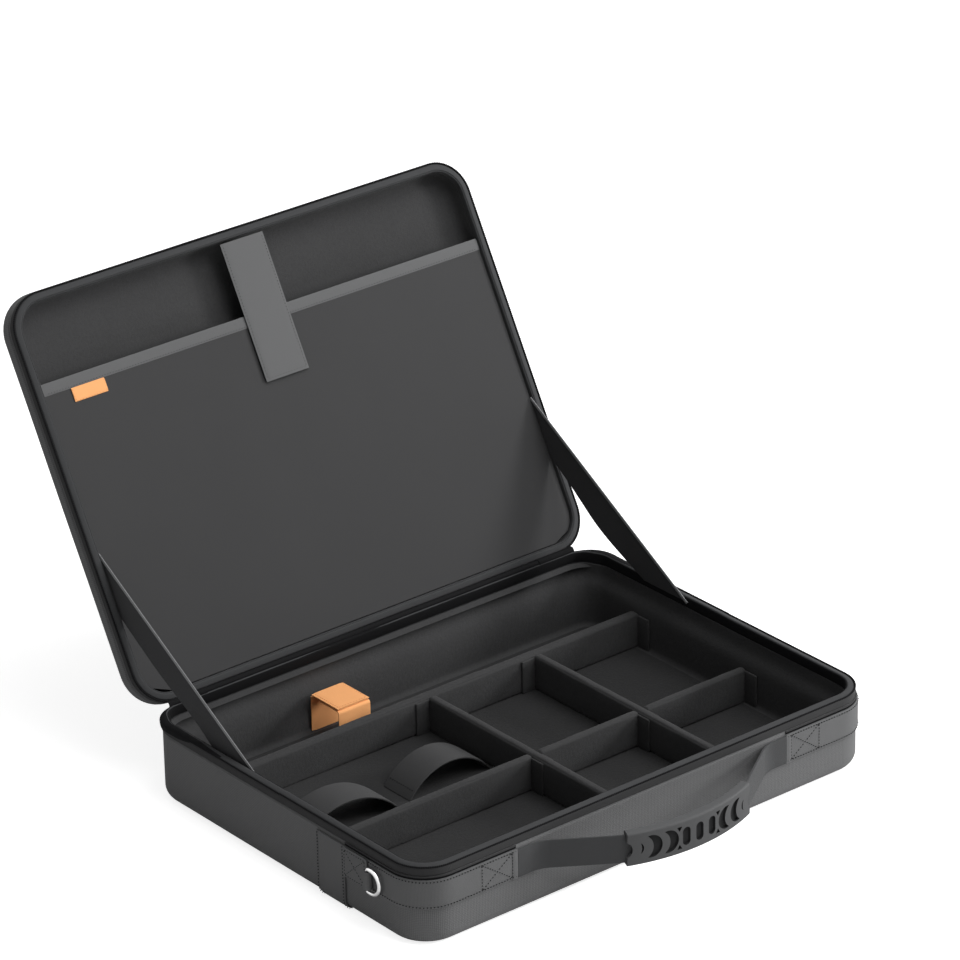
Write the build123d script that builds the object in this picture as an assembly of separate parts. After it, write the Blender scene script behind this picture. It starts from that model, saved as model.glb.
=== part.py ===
from build123d import *
import os
from math import asin, cos, degrees, radians, sin, sqrt, tan

# Laptop hard case: a moulded base, a hinged lid, pads, straps and a handle.
# Millimetres.  +Z is up, +X is to the right and the handle is on the -Y side.
# The origin is on the floor, under the middle of the base.  The lid is drawn
# shut, above the base, and is then swung open about the rear edge.

# ---------------------------------------------------------------- whole case
case_width = 405.0
case_depth = 300.0
corner_radius = 28.0
base_height = 60.0          # floor to the top of the base rim
lid_height = 22.0           # lid rim to the lid's outer face
rim_gap = 0.6               # between the two rims when the lid is shut
lid_open_angle = 119.0
shell_wall = 3.0
shell_inner_chamfer = 4.5   # inner bottom edge, where the lining beds in
base_edge_radius = 9.0
lid_edge_radius = 9.0
hinge_overhang = 0.6        # hinge line behind the rear face
fit_gap = 0.3               # between pieces that are slipped into place

# ------------------------------------------------- rim, zip and piping
rim_width = 7.2
base_rim_height = 10.4
lid_rim_height = 7.4
rim_edge_chamfer = 1.0
rim_binding_thickness = 0.8
rim_binding_drop = 0.6      # below the rim's top
rim_binding_height = 8.0
tape_inset = 0.4
tape_thickness = 1.2
coil_height = 1.4
coil_drop = 0.2             # below the rim's top
piping_radius = 0.75
piping_sides = 6            # flats round the cord
hinge_half_length = 152.0   # the zip stops here on the rear side

# ------------------------------------------------------------ linings
upper_lining_inset = 7.6    # from the outer face to the upper inner wall
lower_lining_inset = 12.5   # the same, below the ledge
ledge_height = 38.0         # floor to the padded ledge
ledge_bevel = 2.6
floor_lining = 2.0
lid_lining_thickness = 1.5

# ----------------------------------------------------------- dividers
divider_top = 32.0
long_divider_thickness = 8.0
long_divider_y = 87.0
cross_divider_thickness = 7.0
cross_divider_places = {"left": -4.0, "right": 93.0}
lateral_divider_thickness = 6.0
lateral_divider_y = -30.0
divider_edge_radius = 2.4
flange_length = 11.5
flange_thickness = 1.6
flange_drop = 1.5           # below the divider's top

# ------------------------------------------------- straps inside the base
loop_thickness = 1.6
charger_loop_side_gap = 1.5  # from the left inner wall to the loop's foot
charger_loop_half_span = 47.5
charger_loop_rise = 24.0
charger_loop_y = 19.0
charger_loop_width = 28.0
cable_loop_side_gap = 2.0   # from the left cross divider to the loop's foot
cable_loop_half_span = 36.5
cable_loop_rise = 19.5
cable_loop_y = 25.5
cable_loop_width = 29.0
tie_thickness = 1.4
tie_width = 28.0
tie_x = -56.0
tie_top = 34.0              # floor to the underside of the flap
tie_span = 33.2             # rear lining to the front of the keeper
tie_keeper_tongue = 22.0
tie_bend_radius = 1.0
tie_hinge_clearance = 1.4   # from the flap's hinge line down to its anchor
tie_flap_gap = 1.0          # from the flap's hinge line to the flap

# -------------------------------------------------- webbing on the outside
web_width = 22.6
web_rise = 0.8              # above the top of the moulded shell
front_band_thickness = 1.6
front_band_end_x = 120.5
side_band_thickness = 1.8
side_band_width = 30.0
side_band_setback = 78.0    # case's front to the band's front edge
side_band_foot = 0.9        # floor to the foot of the band

# ------------------------------------------------------------- D-rings
ring_wire_radius = 1.5
ring_wire_sides = 8         # flats round the wire
ring_half_height = 8.6
ring_corner_radius = 1.6
ring_leg = 4.0
ring_drop = 1.6             # ring's middle below the webbing's middle
ring_bar_setback = 49.0     # case's front to the D-ring's bar
tab_thickness = 2.4
tab_loop_height = 13.4
tab_loop_wall = 1.2
tab_loop_clearance = 0.3
tab_setback = 3.3           # from the bar to the full-height webbing

# --------------------------------------------------------------- handle
strap_width = 21.0
strap_thickness = 2.2
strap_foot_x = 120.2
strap_bend_start_x = 110.0
strap_bend_radius = 28.0
strap_slope = 34.0          # degrees from the front face
strap_wrist_radius = 25.0   # where the strap turns into the grip
grip_half_length = 53.0
grip_end_angle = 22.5       # degrees from the front face, at each end
grip_height = 25.0
grip_depth = 8.0
grip_edge_radius = 2.0      # outer long edges
grip_inner_bevel = 1.6      # long edges on the case's side
grip_slot_clearance = 0.3
grip_slot_spread = 5.0      # degrees that the cutting shape runs past each end
recess_depth = 2.0
oval_places = (-11.0, 0.0, 11.0)
oval_half_width = 3.2
oval_half_height = 6.8
triangle_place = 16.6
triangle_half_base = 2.0
triangle_height = 3.4
triangle_offset = 7.2       # from the grip's middle to each triangle
crescent_places = (22.5, 34.6)
crescent_belly = 11.0
crescent_hollow = 4.3
crescent_half_height = 8.0
end_arc_place = 43.4
end_arc_belly = 2.4
end_arc_hollow = 1.0
end_arc_half_height = 4.0
end_notch_depth = 3.6
end_notch_half_height = 5.6

# ------------------------------------------------------- zip slider and pull
slider_end_gap = 1.0        # from the zip's stopped end to the slider
slider_width = 9.0
slider_depth = 3.2
slider_height = 6.2
slider_edge_radius = 1.0
slider_neck = 0.5           # share of the slider's height at its narrow end
bail_wire_radius = 0.6
bail_reach = 2.4
bail_half_span = 3.0
pull_length = 28.0
pull_width = 6.4
pull_thickness = 1.6
pull_corner_radius = 1.6
knuckle_clearance = 0.2
knuckle_wall = 0.9
knuckle_length = 4.2

# ------------------------------------------------------------ lid pocket
pocket_inset = 3.5          # lid rim to the front of the pocket panel
pocket_thickness = 1.2
pocket_foot = 9.5           # hinge to the lower seam, along the lid
pocket_top = 236.5
pocket_binding_height = 7.5
pocket_binding_proud = 0.6
tag_length = 28.0
tag_height = 10.0
tag_thickness = 0.8
tag_side_gap = 22.6         # pocket's side seam to the tag
closure_x = 0.5
closure_width = 38.0
closure_thickness = 1.3
closure_end = 188.5         # hinge to the strap's free end, along the lid
closure_root_gap = 0.5
hook_patch_width = 32.0
hook_patch_height = 34.0
hook_patch_thickness = 0.6

# --------------------------------------------------------------- gussets
gusset_start = 68.0         # hinge to the near end of each stitched edge
gusset_reach = 115.0        # hinge to the far end
gusset_thickness = 0.8
gusset_hem = 3.0            # below each rim

# ------------------------------------------------------------ worked out
half_width = case_width / 2
half_depth = case_depth / 2
shell_top = base_height - base_rim_height
floor_level = shell_wall + floor_lining
lid_rim_level = base_height + rim_gap
lid_top = lid_rim_level + lid_height
lid_shell_start = lid_rim_level + lid_rim_height
lid_ceiling = lid_top - shell_wall - lid_lining_thickness
hinge_y = half_depth + hinge_overhang
hinge_z = base_height + rim_gap / 2
hinge_axis = Axis((0, hinge_y, hinge_z), (1, 0, 0))
web_top = shell_top + web_rise
web_bottom = web_top - web_width
web_middle = (web_top + web_bottom) / 2
ring_level = web_middle - ring_drop
inner_x = half_width - lower_lining_inset
inner_y = half_depth - lower_lining_inset
charger_loop_x = charger_loop_half_span + charger_loop_side_gap - inner_x
cable_loop_x = (
    cross_divider_places["left"]
    - cross_divider_thickness / 2
    - cable_loop_side_gap
    - cable_loop_half_span
)
tie_front_y = inner_y - fit_gap - tie_span
side_band_front_y = side_band_setback - half_depth
ring_bar_y = ring_bar_setback - half_depth
slider_x = hinge_half_length + slider_end_gap + slider_width / 2
pocket_side = half_width - upper_lining_inset - fit_gap
tag_x = tag_side_gap + tag_length / 2 - pocket_side


def slab(inset, low, high):
    """The case's rounded outline, drawn in by inset, between two levels."""
    outline = RectangleRounded(
        case_width - 2 * inset, case_depth - 2 * inset, corner_radius - inset
    )
    return Pos(0, 0, low) * extrude(outline, high - low)


def ring(outer, inner, low, high):
    """A band that follows the case's outline between two insets."""
    return slab(outer, low, high) - slab(inner, low, high)


def block(x_range, y_range, z_range):
    """A plain box from its three ranges."""
    size = [high - low for low, high in (x_range, y_range, z_range)]
    middle = [(high + low) / 2 for low, high in (x_range, y_range, z_range)]
    return Pos(*middle) * Box(*size)


def swing_open(piece):
    """The lid's pieces are drawn shut and turn back to the open lid."""
    return piece.rotate(hinge_axis, -lid_open_angle)


def mirrored(piece):
    return mirror(piece, about=Plane.YZ)


# ------------------------------------------------------------- moulded shells
def base_block(offset=0.0):
    """The base's solid outer form, with its rounded bottom edge."""
    body = slab(-offset, -offset, shell_top)
    bottom = body.edges().group_by(Axis.Z)[0]
    return fillet(bottom, base_edge_radius + offset)


def base_lining_block(high):
    """What fills the base shell up to a level, with its edge bevelled."""
    body = slab(shell_wall, shell_wall, high)
    return chamfer(body.edges().group_by(Axis.Z)[0], shell_inner_chamfer)


def base_shell():
    return base_block() - base_lining_block(shell_top)


def base_lining():
    """Foam-backed lining with a soft ledge that carries a laptop tray."""
    body = base_lining_block(ledge_height)
    body -= slab(lower_lining_inset, floor_level, ledge_height)
    ledge_face = body.faces().sort_by(Axis.Z)[-1]
    body = chamfer(ledge_face.inner_wires()[0].edges(), ledge_bevel)
    return body + ring(shell_wall, upper_lining_inset, ledge_height, shell_top)


def lid_lining_block():
    """What fills the lid shell, with its edge bevelled."""
    body = slab(shell_wall, lid_shell_start, lid_top - shell_wall)
    return chamfer(body.edges().group_by(Axis.Z)[-1], shell_inner_chamfer)


def lid_shell():
    body = slab(0, lid_shell_start, lid_top)
    body = fillet(body.edges().group_by(Axis.Z)[-1], lid_edge_radius)
    return body - lid_lining_block()


def lid_lining():
    return lid_lining_block() - slab(upper_lining_inset, lid_shell_start, lid_ceiling)


# ----------------------------------------------- rim, binding, zip, piping
def rear_gap():
    """The stretch of the rear side that the fabric hinge takes."""
    return block(
        (-hinge_half_length, hinge_half_length),
        (0, half_depth + 1),
        (0, lid_top),
    )


def rim_pieces(prefix, level, depth):
    """The padded rim and what is sewn to it; level(w) is w below the rim."""

    def span(near, far):
        return sorted((level(near), level(far)))

    rim_outer = tape_inset + tape_thickness
    rim_inner = rim_width - rim_binding_thickness
    rim = ring(rim_outer, rim_inner, *span(0, depth))
    face = level(0)
    edges = [e for e in rim.edges() if abs(e.center().Z - face) < 0.01]
    rim = chamfer(edges, rim_edge_chamfer)
    binding = ring(
        rim_inner, rim_width, *span(rim_binding_drop, min(rim_binding_height, depth))
    )
    coil_end = coil_drop + coil_height
    tape_end = depth - 2 * piping_radius
    tape = ring(tape_inset, rim_outer, *span(coil_end, tape_end)) - rear_gap()
    coil = ring(0, rim_outer, *span(coil_drop, coil_end)) - rear_gap()
    seam = Pos(0, 0, level(depth - piping_radius)) * RectangleRounded(
        case_width - 2 * piping_radius,
        case_depth - 2 * piping_radius,
        corner_radius - piping_radius,
    )
    path = seam.wire()
    section = Plane(path @ 0, z_dir=path % 0) * RegularPolygon(
        piping_radius, piping_sides
    )
    piping = sweep(section, path=path)
    return {
        prefix + "_rim": rim,
        prefix + "_rim_binding": binding,
        prefix + "_zipper_tape": tape,
        prefix + "_zipper_coil": coil,
        prefix + "_piping": piping,
    }


def hinge_strip():
    """Fabric that joins the two rims at the rear and folds at the hinge."""
    length = (-hinge_half_length + fit_gap, hinge_half_length - fit_gap)
    outer = half_depth - tape_inset
    inner = outer - tape_thickness
    base_leaf = block(
        length,
        (inner, outer),
        (shell_top + 2 * piping_radius, hinge_z),
    )
    lid_leaf = swing_open(
        block(
            length,
            (inner, outer),
            (hinge_z, lid_shell_start - 2 * piping_radius),
        )
    )
    near = hinge_y - outer
    far = near + tape_thickness
    fold = Plane.YZ * (
        Circle(far) - Circle(near) - Pos(0, -far) * Rectangle(4 * far, 2 * far)
    )
    fold = extrude(fold, length[1], both=True)
    open_side = Plane.YZ * Rot(0, 0, 180 - lid_open_angle) * Pos(0, -far)
    keep_out = extrude(open_side * Rectangle(4 * far, 2 * far), length[1], both=True)
    fold = Pos(0, hinge_y, hinge_z) * (fold - keep_out)
    return base_leaf + fold + lid_leaf


# ---------------------------------------------------------------- dividers
def divider_along_x(x_range, middle_y, thickness, flange_side):
    """A padded wall across the case, with end flanges turned to one side."""
    y_range = (middle_y - thickness / 2, middle_y + thickness / 2)
    wall = block(x_range, y_range, (floor_level, divider_top))
    top = wall.edges().filter_by(Axis.X).group_by(Axis.Z)[-1]
    wall = fillet(top, divider_edge_radius)
    face = middle_y + flange_side * thickness / 2
    near, far = sorted((face - flange_side, face + flange_side * flange_length))
    for x, way in ((x_range[0], 1), (x_range[1], -1)):
        plate_x = sorted((x, x + way * flange_thickness))
        wall += block(plate_x, (near, far), (floor_level, divider_top - flange_drop))
    return wall


def divider_along_y(y_range, middle_x, thickness):
    """The same, front to back: a mirror swaps X and Y, flanges to the left."""
    wall = divider_along_x((-y_range[1], -y_range[0]), -middle_x, thickness, 1)
    return mirror(wall, about=Plane((0, 0, 0), z_dir=(1, 1, 0)))


def dividers():
    left = cross_divider_places["left"]
    right = cross_divider_places["right"]
    half_cross = cross_divider_thickness / 2
    long_front = long_divider_y - long_divider_thickness / 2
    pieces = {}
    side = inner_x - fit_gap
    pieces["long_divider"] = divider_along_x(
        (-side, side), long_divider_y, long_divider_thickness, -1
    )
    for name, x in cross_divider_places.items():
        pieces["cross_divider_" + name] = divider_along_y(
            (-inner_y + fit_gap, long_front - fit_gap), x, cross_divider_thickness
        )
    spans = {
        "left": (-side, left - half_cross - fit_gap),
        "middle": (left + half_cross + fit_gap, right - half_cross - fit_gap),
        "right": (right + half_cross + fit_gap, side),
    }
    for name, span in spans.items():
        pieces["lateral_divider_" + name] = divider_along_x(
            span, lateral_divider_y, lateral_divider_thickness, -1
        )
    return pieces


# -------------------------------------------------------- straps in the base
def arched_loop(middle_x, half_span, rise, middle_y, width):
    """An elastic strap that stands in an arch from the floor lining."""
    radius = (half_span**2 + rise**2) / (2 * rise)
    hoop = Circle(radius) - Circle(radius - loop_thickness)
    below = Pos(0, -radius) * Rectangle(3 * radius, 2 * radius)
    arch = Pos(0, rise - radius) * hoop - below
    arch = extrude(Plane.XZ * arch, width / 2, both=True)
    return Pos(middle_x, middle_y, floor_level) * arch


def tie_strap():
    """Hook and loop strap for a power pack: anchor, flap and keeper."""
    x_range = (tie_x - tie_width / 2, tie_x + tie_width / 2)
    rear = inner_y - fit_gap
    hinge_line_y = rear - tie_thickness / 2
    flap_rear = hinge_line_y - tie_flap_gap
    anchor = block(
        x_range,
        (rear - tie_thickness, rear),
        (floor_level, tie_top + tie_thickness / 2 - tie_hinge_clearance),
    )
    flap = block(
        x_range,
        (tie_front_y + tie_thickness, flap_rear),
        (tie_top, tie_top + tie_thickness),
    )
    tongue_top = tie_top - fit_gap
    leg_rear = tie_front_y + tie_thickness
    leg = block(x_range, (tie_front_y, leg_rear), (floor_level, tongue_top))
    tongue = block(
        x_range,
        (tie_front_y, leg_rear + tie_keeper_tongue),
        (tongue_top - tie_thickness, tongue_top),
    )
    keeper = leg + tongue
    corner = keeper.edges().filter_by(Axis.X).sort_by(
        lambda e: e.center().Y - e.center().Z
    )[0]
    keeper = fillet(corner, tie_bend_radius)
    return {
        "tie_strap_anchor": anchor,
        "tie_strap_flap": flap,
        "tie_strap_keeper": keeper,
    }


# ------------------------------------------------------ webbing and D-rings
def side_band():
    """The upright band on the left side, tucked round the bottom edge."""
    rear = side_band_front_y + side_band_width
    sleeve = base_block(side_band_thickness) - base_block()
    window = block(
        (-case_width, -half_width + base_edge_radius),
        (side_band_front_y, rear),
        (side_band_foot, web_top),
    )
    return sleeve & window


def front_band():
    """The level band from the side band round the corner to the handle."""
    band = ring(-front_band_thickness, 0, web_bottom, web_top)
    window = block(
        (-case_width, -front_band_end_x),
        (-case_depth, side_band_front_y),
        (web_bottom, web_top),
    )
    return band & window


def ring_centre_x():
    loop_radius = ring_wire_radius + tab_loop_clearance + tab_loop_wall
    return -(half_width + front_band_thickness + loop_radius)


def ring_tab():
    """Webbing sewn to the band, with a narrow loop round the D-ring's bar."""
    face = -(half_width + front_band_thickness)
    hole = ring_wire_radius + tab_loop_clearance
    plate = block(
        (face - tab_thickness, face),
        (ring_bar_y + tab_setback, side_band_front_y - fit_gap),
        (web_bottom, web_top),
    )
    neck = block(
        (face - tab_thickness, face),
        (ring_bar_y, ring_bar_y + tab_setback),
        (ring_level - tab_loop_height / 2, ring_level + tab_loop_height / 2),
    )
    loop = Pos(ring_centre_x(), ring_bar_y, ring_level)
    tab = plate + neck + loop * Cylinder(hole + tab_loop_wall, tab_loop_height)
    return tab - loop * Cylinder(hole, web_width)


def d_ring():
    """A bar along Z, two short legs and a half round, all of one wire."""
    outline = Polyline(
        (0, -ring_half_height),
        (0, ring_half_height),
        (ring_leg, ring_half_height),
    )
    frame = Line((0, -ring_half_height), (ring_leg, -ring_half_height)) + outline
    corners = [v for v in frame.vertices() if v.X < ring_leg / 2]
    frame = Wire(frame.edges()).fillet_2d(ring_corner_radius, corners)
    bow = ThreePointArc(
        (ring_leg, ring_half_height),
        (ring_leg + ring_half_height, 0),
        (ring_leg, -ring_half_height),
    )
    bend = Plane(origin=(0, 0, 0), x_dir=(0, -1, 0), z_dir=(-1, 0, 0))
    path = bend * Wire(frame.edges() + bow.edges())
    section = Plane(path @ 0, z_dir=path % 0) * RegularPolygon(
        ring_wire_radius, ring_wire_sides
    )
    return Pos(ring_centre_x(), ring_bar_y, ring_level) * sweep(section, path=path)


# ----------------------------------------------------------------- handle
arc_radius = grip_half_length / sin(radians(grip_end_angle))
bend_run = strap_bend_radius * sin(radians(strap_slope))
wrist_run = strap_wrist_radius * (
    sin(radians(strap_slope)) - sin(radians(grip_end_angle))
)
slope_run = strap_bend_start_x - bend_run - wrist_run - grip_half_length
slope_length = slope_run / cos(radians(strap_slope))
strap_face_y = -(half_depth + strap_thickness / 2)


def strap_path():
    """The handle strap's middle line in plan, from foot to foot."""
    turns = (
        (strap_bend_radius, -strap_slope),
        (strap_wrist_radius, strap_slope - grip_end_angle),
        (arc_radius, 2 * grip_end_angle),
        (strap_wrist_radius, strap_slope - grip_end_angle),
        (strap_bend_radius, -strap_slope),
    )
    straights = (strap_foot_x - strap_bend_start_x, slope_length, 0, 0, slope_length)
    lines = []
    end = Vector(-strap_foot_x, strap_face_y)
    way = Vector(1, 0)
    for straight, (radius, angle) in zip(straights, turns):
        if straight:
            lines.append(Line(end, end + straight * way))
            end = lines[-1] @ 1
        lines.append(JernArc(end, way, radius, angle))
        end = lines[-1] @ 1
        way = lines[-1] % 1
    lines.append(Line(end, end + straights[0] * way))
    return lines


def grip_arc():
    """The part of the strap's middle line that runs inside the grip."""
    return max(
        (line for line in strap_path() if line.geom_type == GeomType.CIRCLE),
        key=lambda arc: arc.radius,
    )


arc_centre_y = grip_arc().arc_center.Y


def handle_strap():
    face = trace(strap_path(), strap_thickness)
    return Pos(0, 0, web_middle - strap_width / 2) * extrude(face, strap_width)


def sector(outer, inner, half_angle):
    """A ring sector in plan that opens towards the front of the case."""
    reach = 2 * outer
    spread = reach * tan(radians(half_angle))
    wedge = Polygon((0, 0), (-spread, -reach), (spread, -reach), align=None)
    return Pos(0, arc_centre_y) * ((Circle(outer) - Circle(inner)) & wedge)


def recess(place, shape, depth):
    """A flat shape cut into the grip's outer face, square to its curve."""
    turn = degrees(asin(place / arc_radius))
    face = arc_radius + grip_depth / 2
    plane = Plane(
        origin=(
            face * sin(radians(turn)),
            arc_centre_y - face * cos(radians(turn)),
            web_middle,
        ),
        x_dir=(cos(radians(turn)), sin(radians(turn)), 0),
        z_dir=(sin(radians(turn)), -cos(radians(turn)), 0),
    )
    return extrude(plane * shape, depth, both=True)


def bulge(sagitta, half_chord):
    """A disc whose edge rises by sagitta from a chord on the Y axis."""
    radius = (half_chord**2 + sagitta**2) / (2 * sagitta)
    return Pos(sagitta - radius, 0) * Circle(radius)


def crescent(belly, hollow, half_chord):
    """A moon shape, centred on half its width."""
    moon = bulge(belly, half_chord) - bulge(hollow, half_chord)
    return Pos(-belly / 2, 0) * moon


def grip_pattern():
    """Each recess on the grip's right half: place, shape and depth."""
    side = sqrt(triangle_half_base**2 + triangle_height**2)
    triangle = Triangle(a=2 * triangle_half_base, b=side, c=side)
    shapes = [
        (triangle_place, Pos(0, -triangle_offset) * triangle, recess_depth),
        (
            triangle_place,
            Pos(0, triangle_offset) * Rot(0, 0, 180) * triangle,
            recess_depth,
        ),
    ]
    moon = crescent(crescent_belly, crescent_hollow, crescent_half_height)
    for place in crescent_places:
        shapes.append((place, mirror(moon, about=Plane.YZ), recess_depth))
    moon = crescent(end_arc_belly, end_arc_hollow, end_arc_half_height)
    shapes.append((end_arc_place, mirror(moon, about=Plane.YZ), recess_depth))
    notch = mirror(bulge(end_notch_depth, end_notch_half_height), about=Plane.YZ)
    wall = grip_depth / 2 - strap_thickness / 2
    shapes.append((grip_half_length, notch, wall))
    return shapes


def handle_grip():
    """Moulded sleeve on the strap, with a pattern of recesses to hold it."""
    half = grip_depth / 2
    body = extrude(
        sector(arc_radius + half, arc_radius - half, grip_end_angle), grip_height
    )
    inner = body.edges().filter_by(GeomType.CIRCLE).group_by(SortBy.RADIUS)[0]
    body = chamfer(inner, grip_inner_bevel)
    outer = body.edges().filter_by(GeomType.CIRCLE).group_by(SortBy.RADIUS)[-1]
    body = fillet(outer, grip_edge_radius)
    body = Pos(0, 0, web_middle - grip_height / 2) * body
    slot = strap_thickness / 2 + grip_slot_clearance
    slot_height = strap_width + 2 * grip_slot_clearance
    passage = extrude(
        sector(arc_radius + slot, arc_radius - slot, grip_end_angle + grip_slot_spread),
        slot_height,
    )
    body -= Pos(0, 0, web_middle - slot_height / 2) * passage
    for place in oval_places:
        oval = SlotOverall(2 * oval_half_height, 2 * oval_half_width, rotation=90)
        body -= recess(place, oval, recess_depth)
    for place, shape, depth in grip_pattern():
        cut = recess(place, shape, depth)
        body -= cut
        body -= mirror(cut, about=Plane.YZ)
    return body


# --------------------------------------------------------------- zip slider
def slider_level():
    return base_height - coil_drop - coil_height - slider_height / 2


def slider_face_y():
    return half_depth + fit_gap + slider_depth


def zipper_slider():
    """Wedge-shaped slider on the left of the rear side, with its bail."""
    narrow = slider_height * slider_neck
    outline = Polygon(
        (-slider_width / 2, -slider_height / 2),
        (slider_width / 2, -narrow / 2),
        (slider_width / 2, narrow / 2),
        (-slider_width / 2, slider_height / 2),
        align=None,
    )
    outline = fillet(outline.vertices(), slider_edge_radius)
    body = Pos(0, -slider_depth, 0) * extrude(Plane.XZ * outline, -slider_depth)
    bar = Pos(0, bail_reach, 0) * Cylinder(
        bail_wire_radius, 2 * bail_half_span, rotation=(0, 90, 0)
    )
    body += bar
    for side in (-1, 1):
        end = Pos(side * bail_half_span, bail_reach, 0)
        cheek = Box(2 * bail_wire_radius, bail_reach, 2 * bail_wire_radius)
        body += end * Pos(0, -bail_reach / 2, 0) * cheek
    return Pos(-slider_x, slider_face_y(), slider_level()) * body


def zipper_pull():
    """A flat pull with a rolled eye round the bail, hanging straight down."""
    hole = bail_wire_radius + knuckle_clearance
    plate = Pos(0, -pull_length / 2) * RectangleRounded(
        pull_width, pull_length, pull_corner_radius
    )
    body = extrude(Plane.XZ * plate, pull_thickness / 2, both=True)
    top_clear = Box(2 * pull_width, case_depth, 2 * (hole + knuckle_wall))
    body -= top_clear
    neck = Pos(0, 0, -hole - knuckle_wall) * Box(
        knuckle_length, pull_thickness, 2 * (hole + knuckle_wall)
    )
    knuckle = Cylinder(hole + knuckle_wall, knuckle_length, rotation=(0, 90, 0))
    body += neck + knuckle
    body -= Cylinder(hole, 2 * knuckle_length, rotation=(0, 90, 0))
    return Pos(-slider_x, slider_face_y() + bail_reach, slider_level()) * body


# ---------------------------------------------------------------- lid pocket
def along_lid(distance):
    """Y of a point on the shut lid, measured from the hinge line."""
    return hinge_y - distance


def pocket_pieces():
    """The lid's pocket, its bound edge, tag, closing strap and hook patch."""
    side = pocket_side
    front = lid_rim_level + pocket_inset
    back = front + pocket_thickness
    panel = block((-side, side), (along_lid(pocket_top), along_lid(pocket_foot)), (front, back))
    upright = panel.edges().filter_by(Axis.Z).group_by(Axis.Y)[-1]
    panel = fillet(upright, corner_radius - upper_lining_inset)
    binding = block(
        (-side, side),
        (along_lid(pocket_top) - pocket_thickness, along_lid(pocket_top - pocket_binding_height)),
        (front - pocket_binding_proud, back + pocket_binding_proud),
    )
    binding -= panel
    tag_far = along_lid(pocket_top - pocket_binding_height)
    tag = block(
        (tag_x - tag_length / 2, tag_x + tag_length / 2),
        (tag_far, tag_far + tag_height),
        (front - tag_thickness, front),
    )
    strap_back = front - pocket_binding_proud - fit_gap
    root = -half_depth + upper_lining_inset + closure_root_gap
    strap = block(
        (closure_x - closure_width / 2, closure_x + closure_width / 2),
        (root, along_lid(closure_end)),
        (strap_back - closure_thickness, strap_back),
    )
    patch_far = along_lid(closure_end)
    patch = block(
        (closure_x - hook_patch_width / 2, closure_x + hook_patch_width / 2),
        (patch_far - hook_patch_height, patch_far - fit_gap),
        (front - hook_patch_thickness, front),
    )
    return {
        "pocket_panel": panel,
        "pocket_binding": binding,
        "label_tag": tag,
        "closure_strap": strap,
        "hook_patch": patch,
    }


# ------------------------------------------------------------------ gussets
def lid_point(distance, depth):
    """A point of the open lid in the Y-Z plane: along the lid and into it."""
    turn = radians(lid_open_angle)
    return (
        hinge_y - distance * cos(turn) + depth * sin(turn),
        hinge_z + distance * sin(turn) + depth * cos(turn),
    )


def gusset():
    """A broad fabric strip on the left that stops the lid, taut and flat."""
    hem = base_height - gusset_hem
    lid_hem = gusset_hem - rim_gap
    outline = Polygon(
        (hinge_y - gusset_reach, hem),
        (hinge_y - gusset_start, hem),
        lid_point(gusset_start, lid_hem),
        lid_point(gusset_reach, lid_hem),
        align=None,
    )
    sheet = extrude(Plane.YZ * outline, gusset_thickness)
    return Pos(-half_width + rim_width + fit_gap, 0, 0) * sheet


# ------------------------------------------------------------------- output
def all_pieces():
    pieces = {"base_shell": base_shell(), "base_lining": base_lining()}
    pieces.update(rim_pieces("base", lambda w: base_height - w, base_rim_height))
    lid = {"lid_shell": lid_shell(), "lid_lining": lid_lining()}
    lid.update(rim_pieces("lid", lambda w: lid_rim_level + w, lid_rim_height))
    lid.update(pocket_pieces())
    for name, piece in lid.items():
        pieces[name] = swing_open(piece)
    pieces["hinge_strip"] = hinge_strip()
    pieces.update(dividers())
    pieces["charger_loop"] = arched_loop(
        charger_loop_x,
        charger_loop_half_span,
        charger_loop_rise,
        charger_loop_y,
        charger_loop_width,
    )
    pieces["cable_loop"] = arched_loop(
        cable_loop_x,
        cable_loop_half_span,
        cable_loop_rise,
        cable_loop_y,
        cable_loop_width,
    )
    pieces.update(tie_strap())
    pairs = {
        "side_band": side_band(),
        "front_band": front_band(),
        "ring_tab": ring_tab(),
        "d_ring": d_ring(),
        "zipper_slider": zipper_slider(),
        "zipper_pull": zipper_pull(),
        "gusset": gusset(),
    }
    for name, piece in pairs.items():
        pieces[name + "_left"] = piece
        pieces[name + "_right"] = mirrored(piece)
    pieces["handle_strap"] = handle_strap()
    pieces["handle_grip"] = handle_grip()
    return pieces


os.makedirs("parts", exist_ok=True)
for node, solid in all_pieces().items():
    export_step(solid, "parts/" + node + ".step")
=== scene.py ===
import math
import bpy
import bmesh
from mathutils import Matrix, Vector, noise


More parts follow.
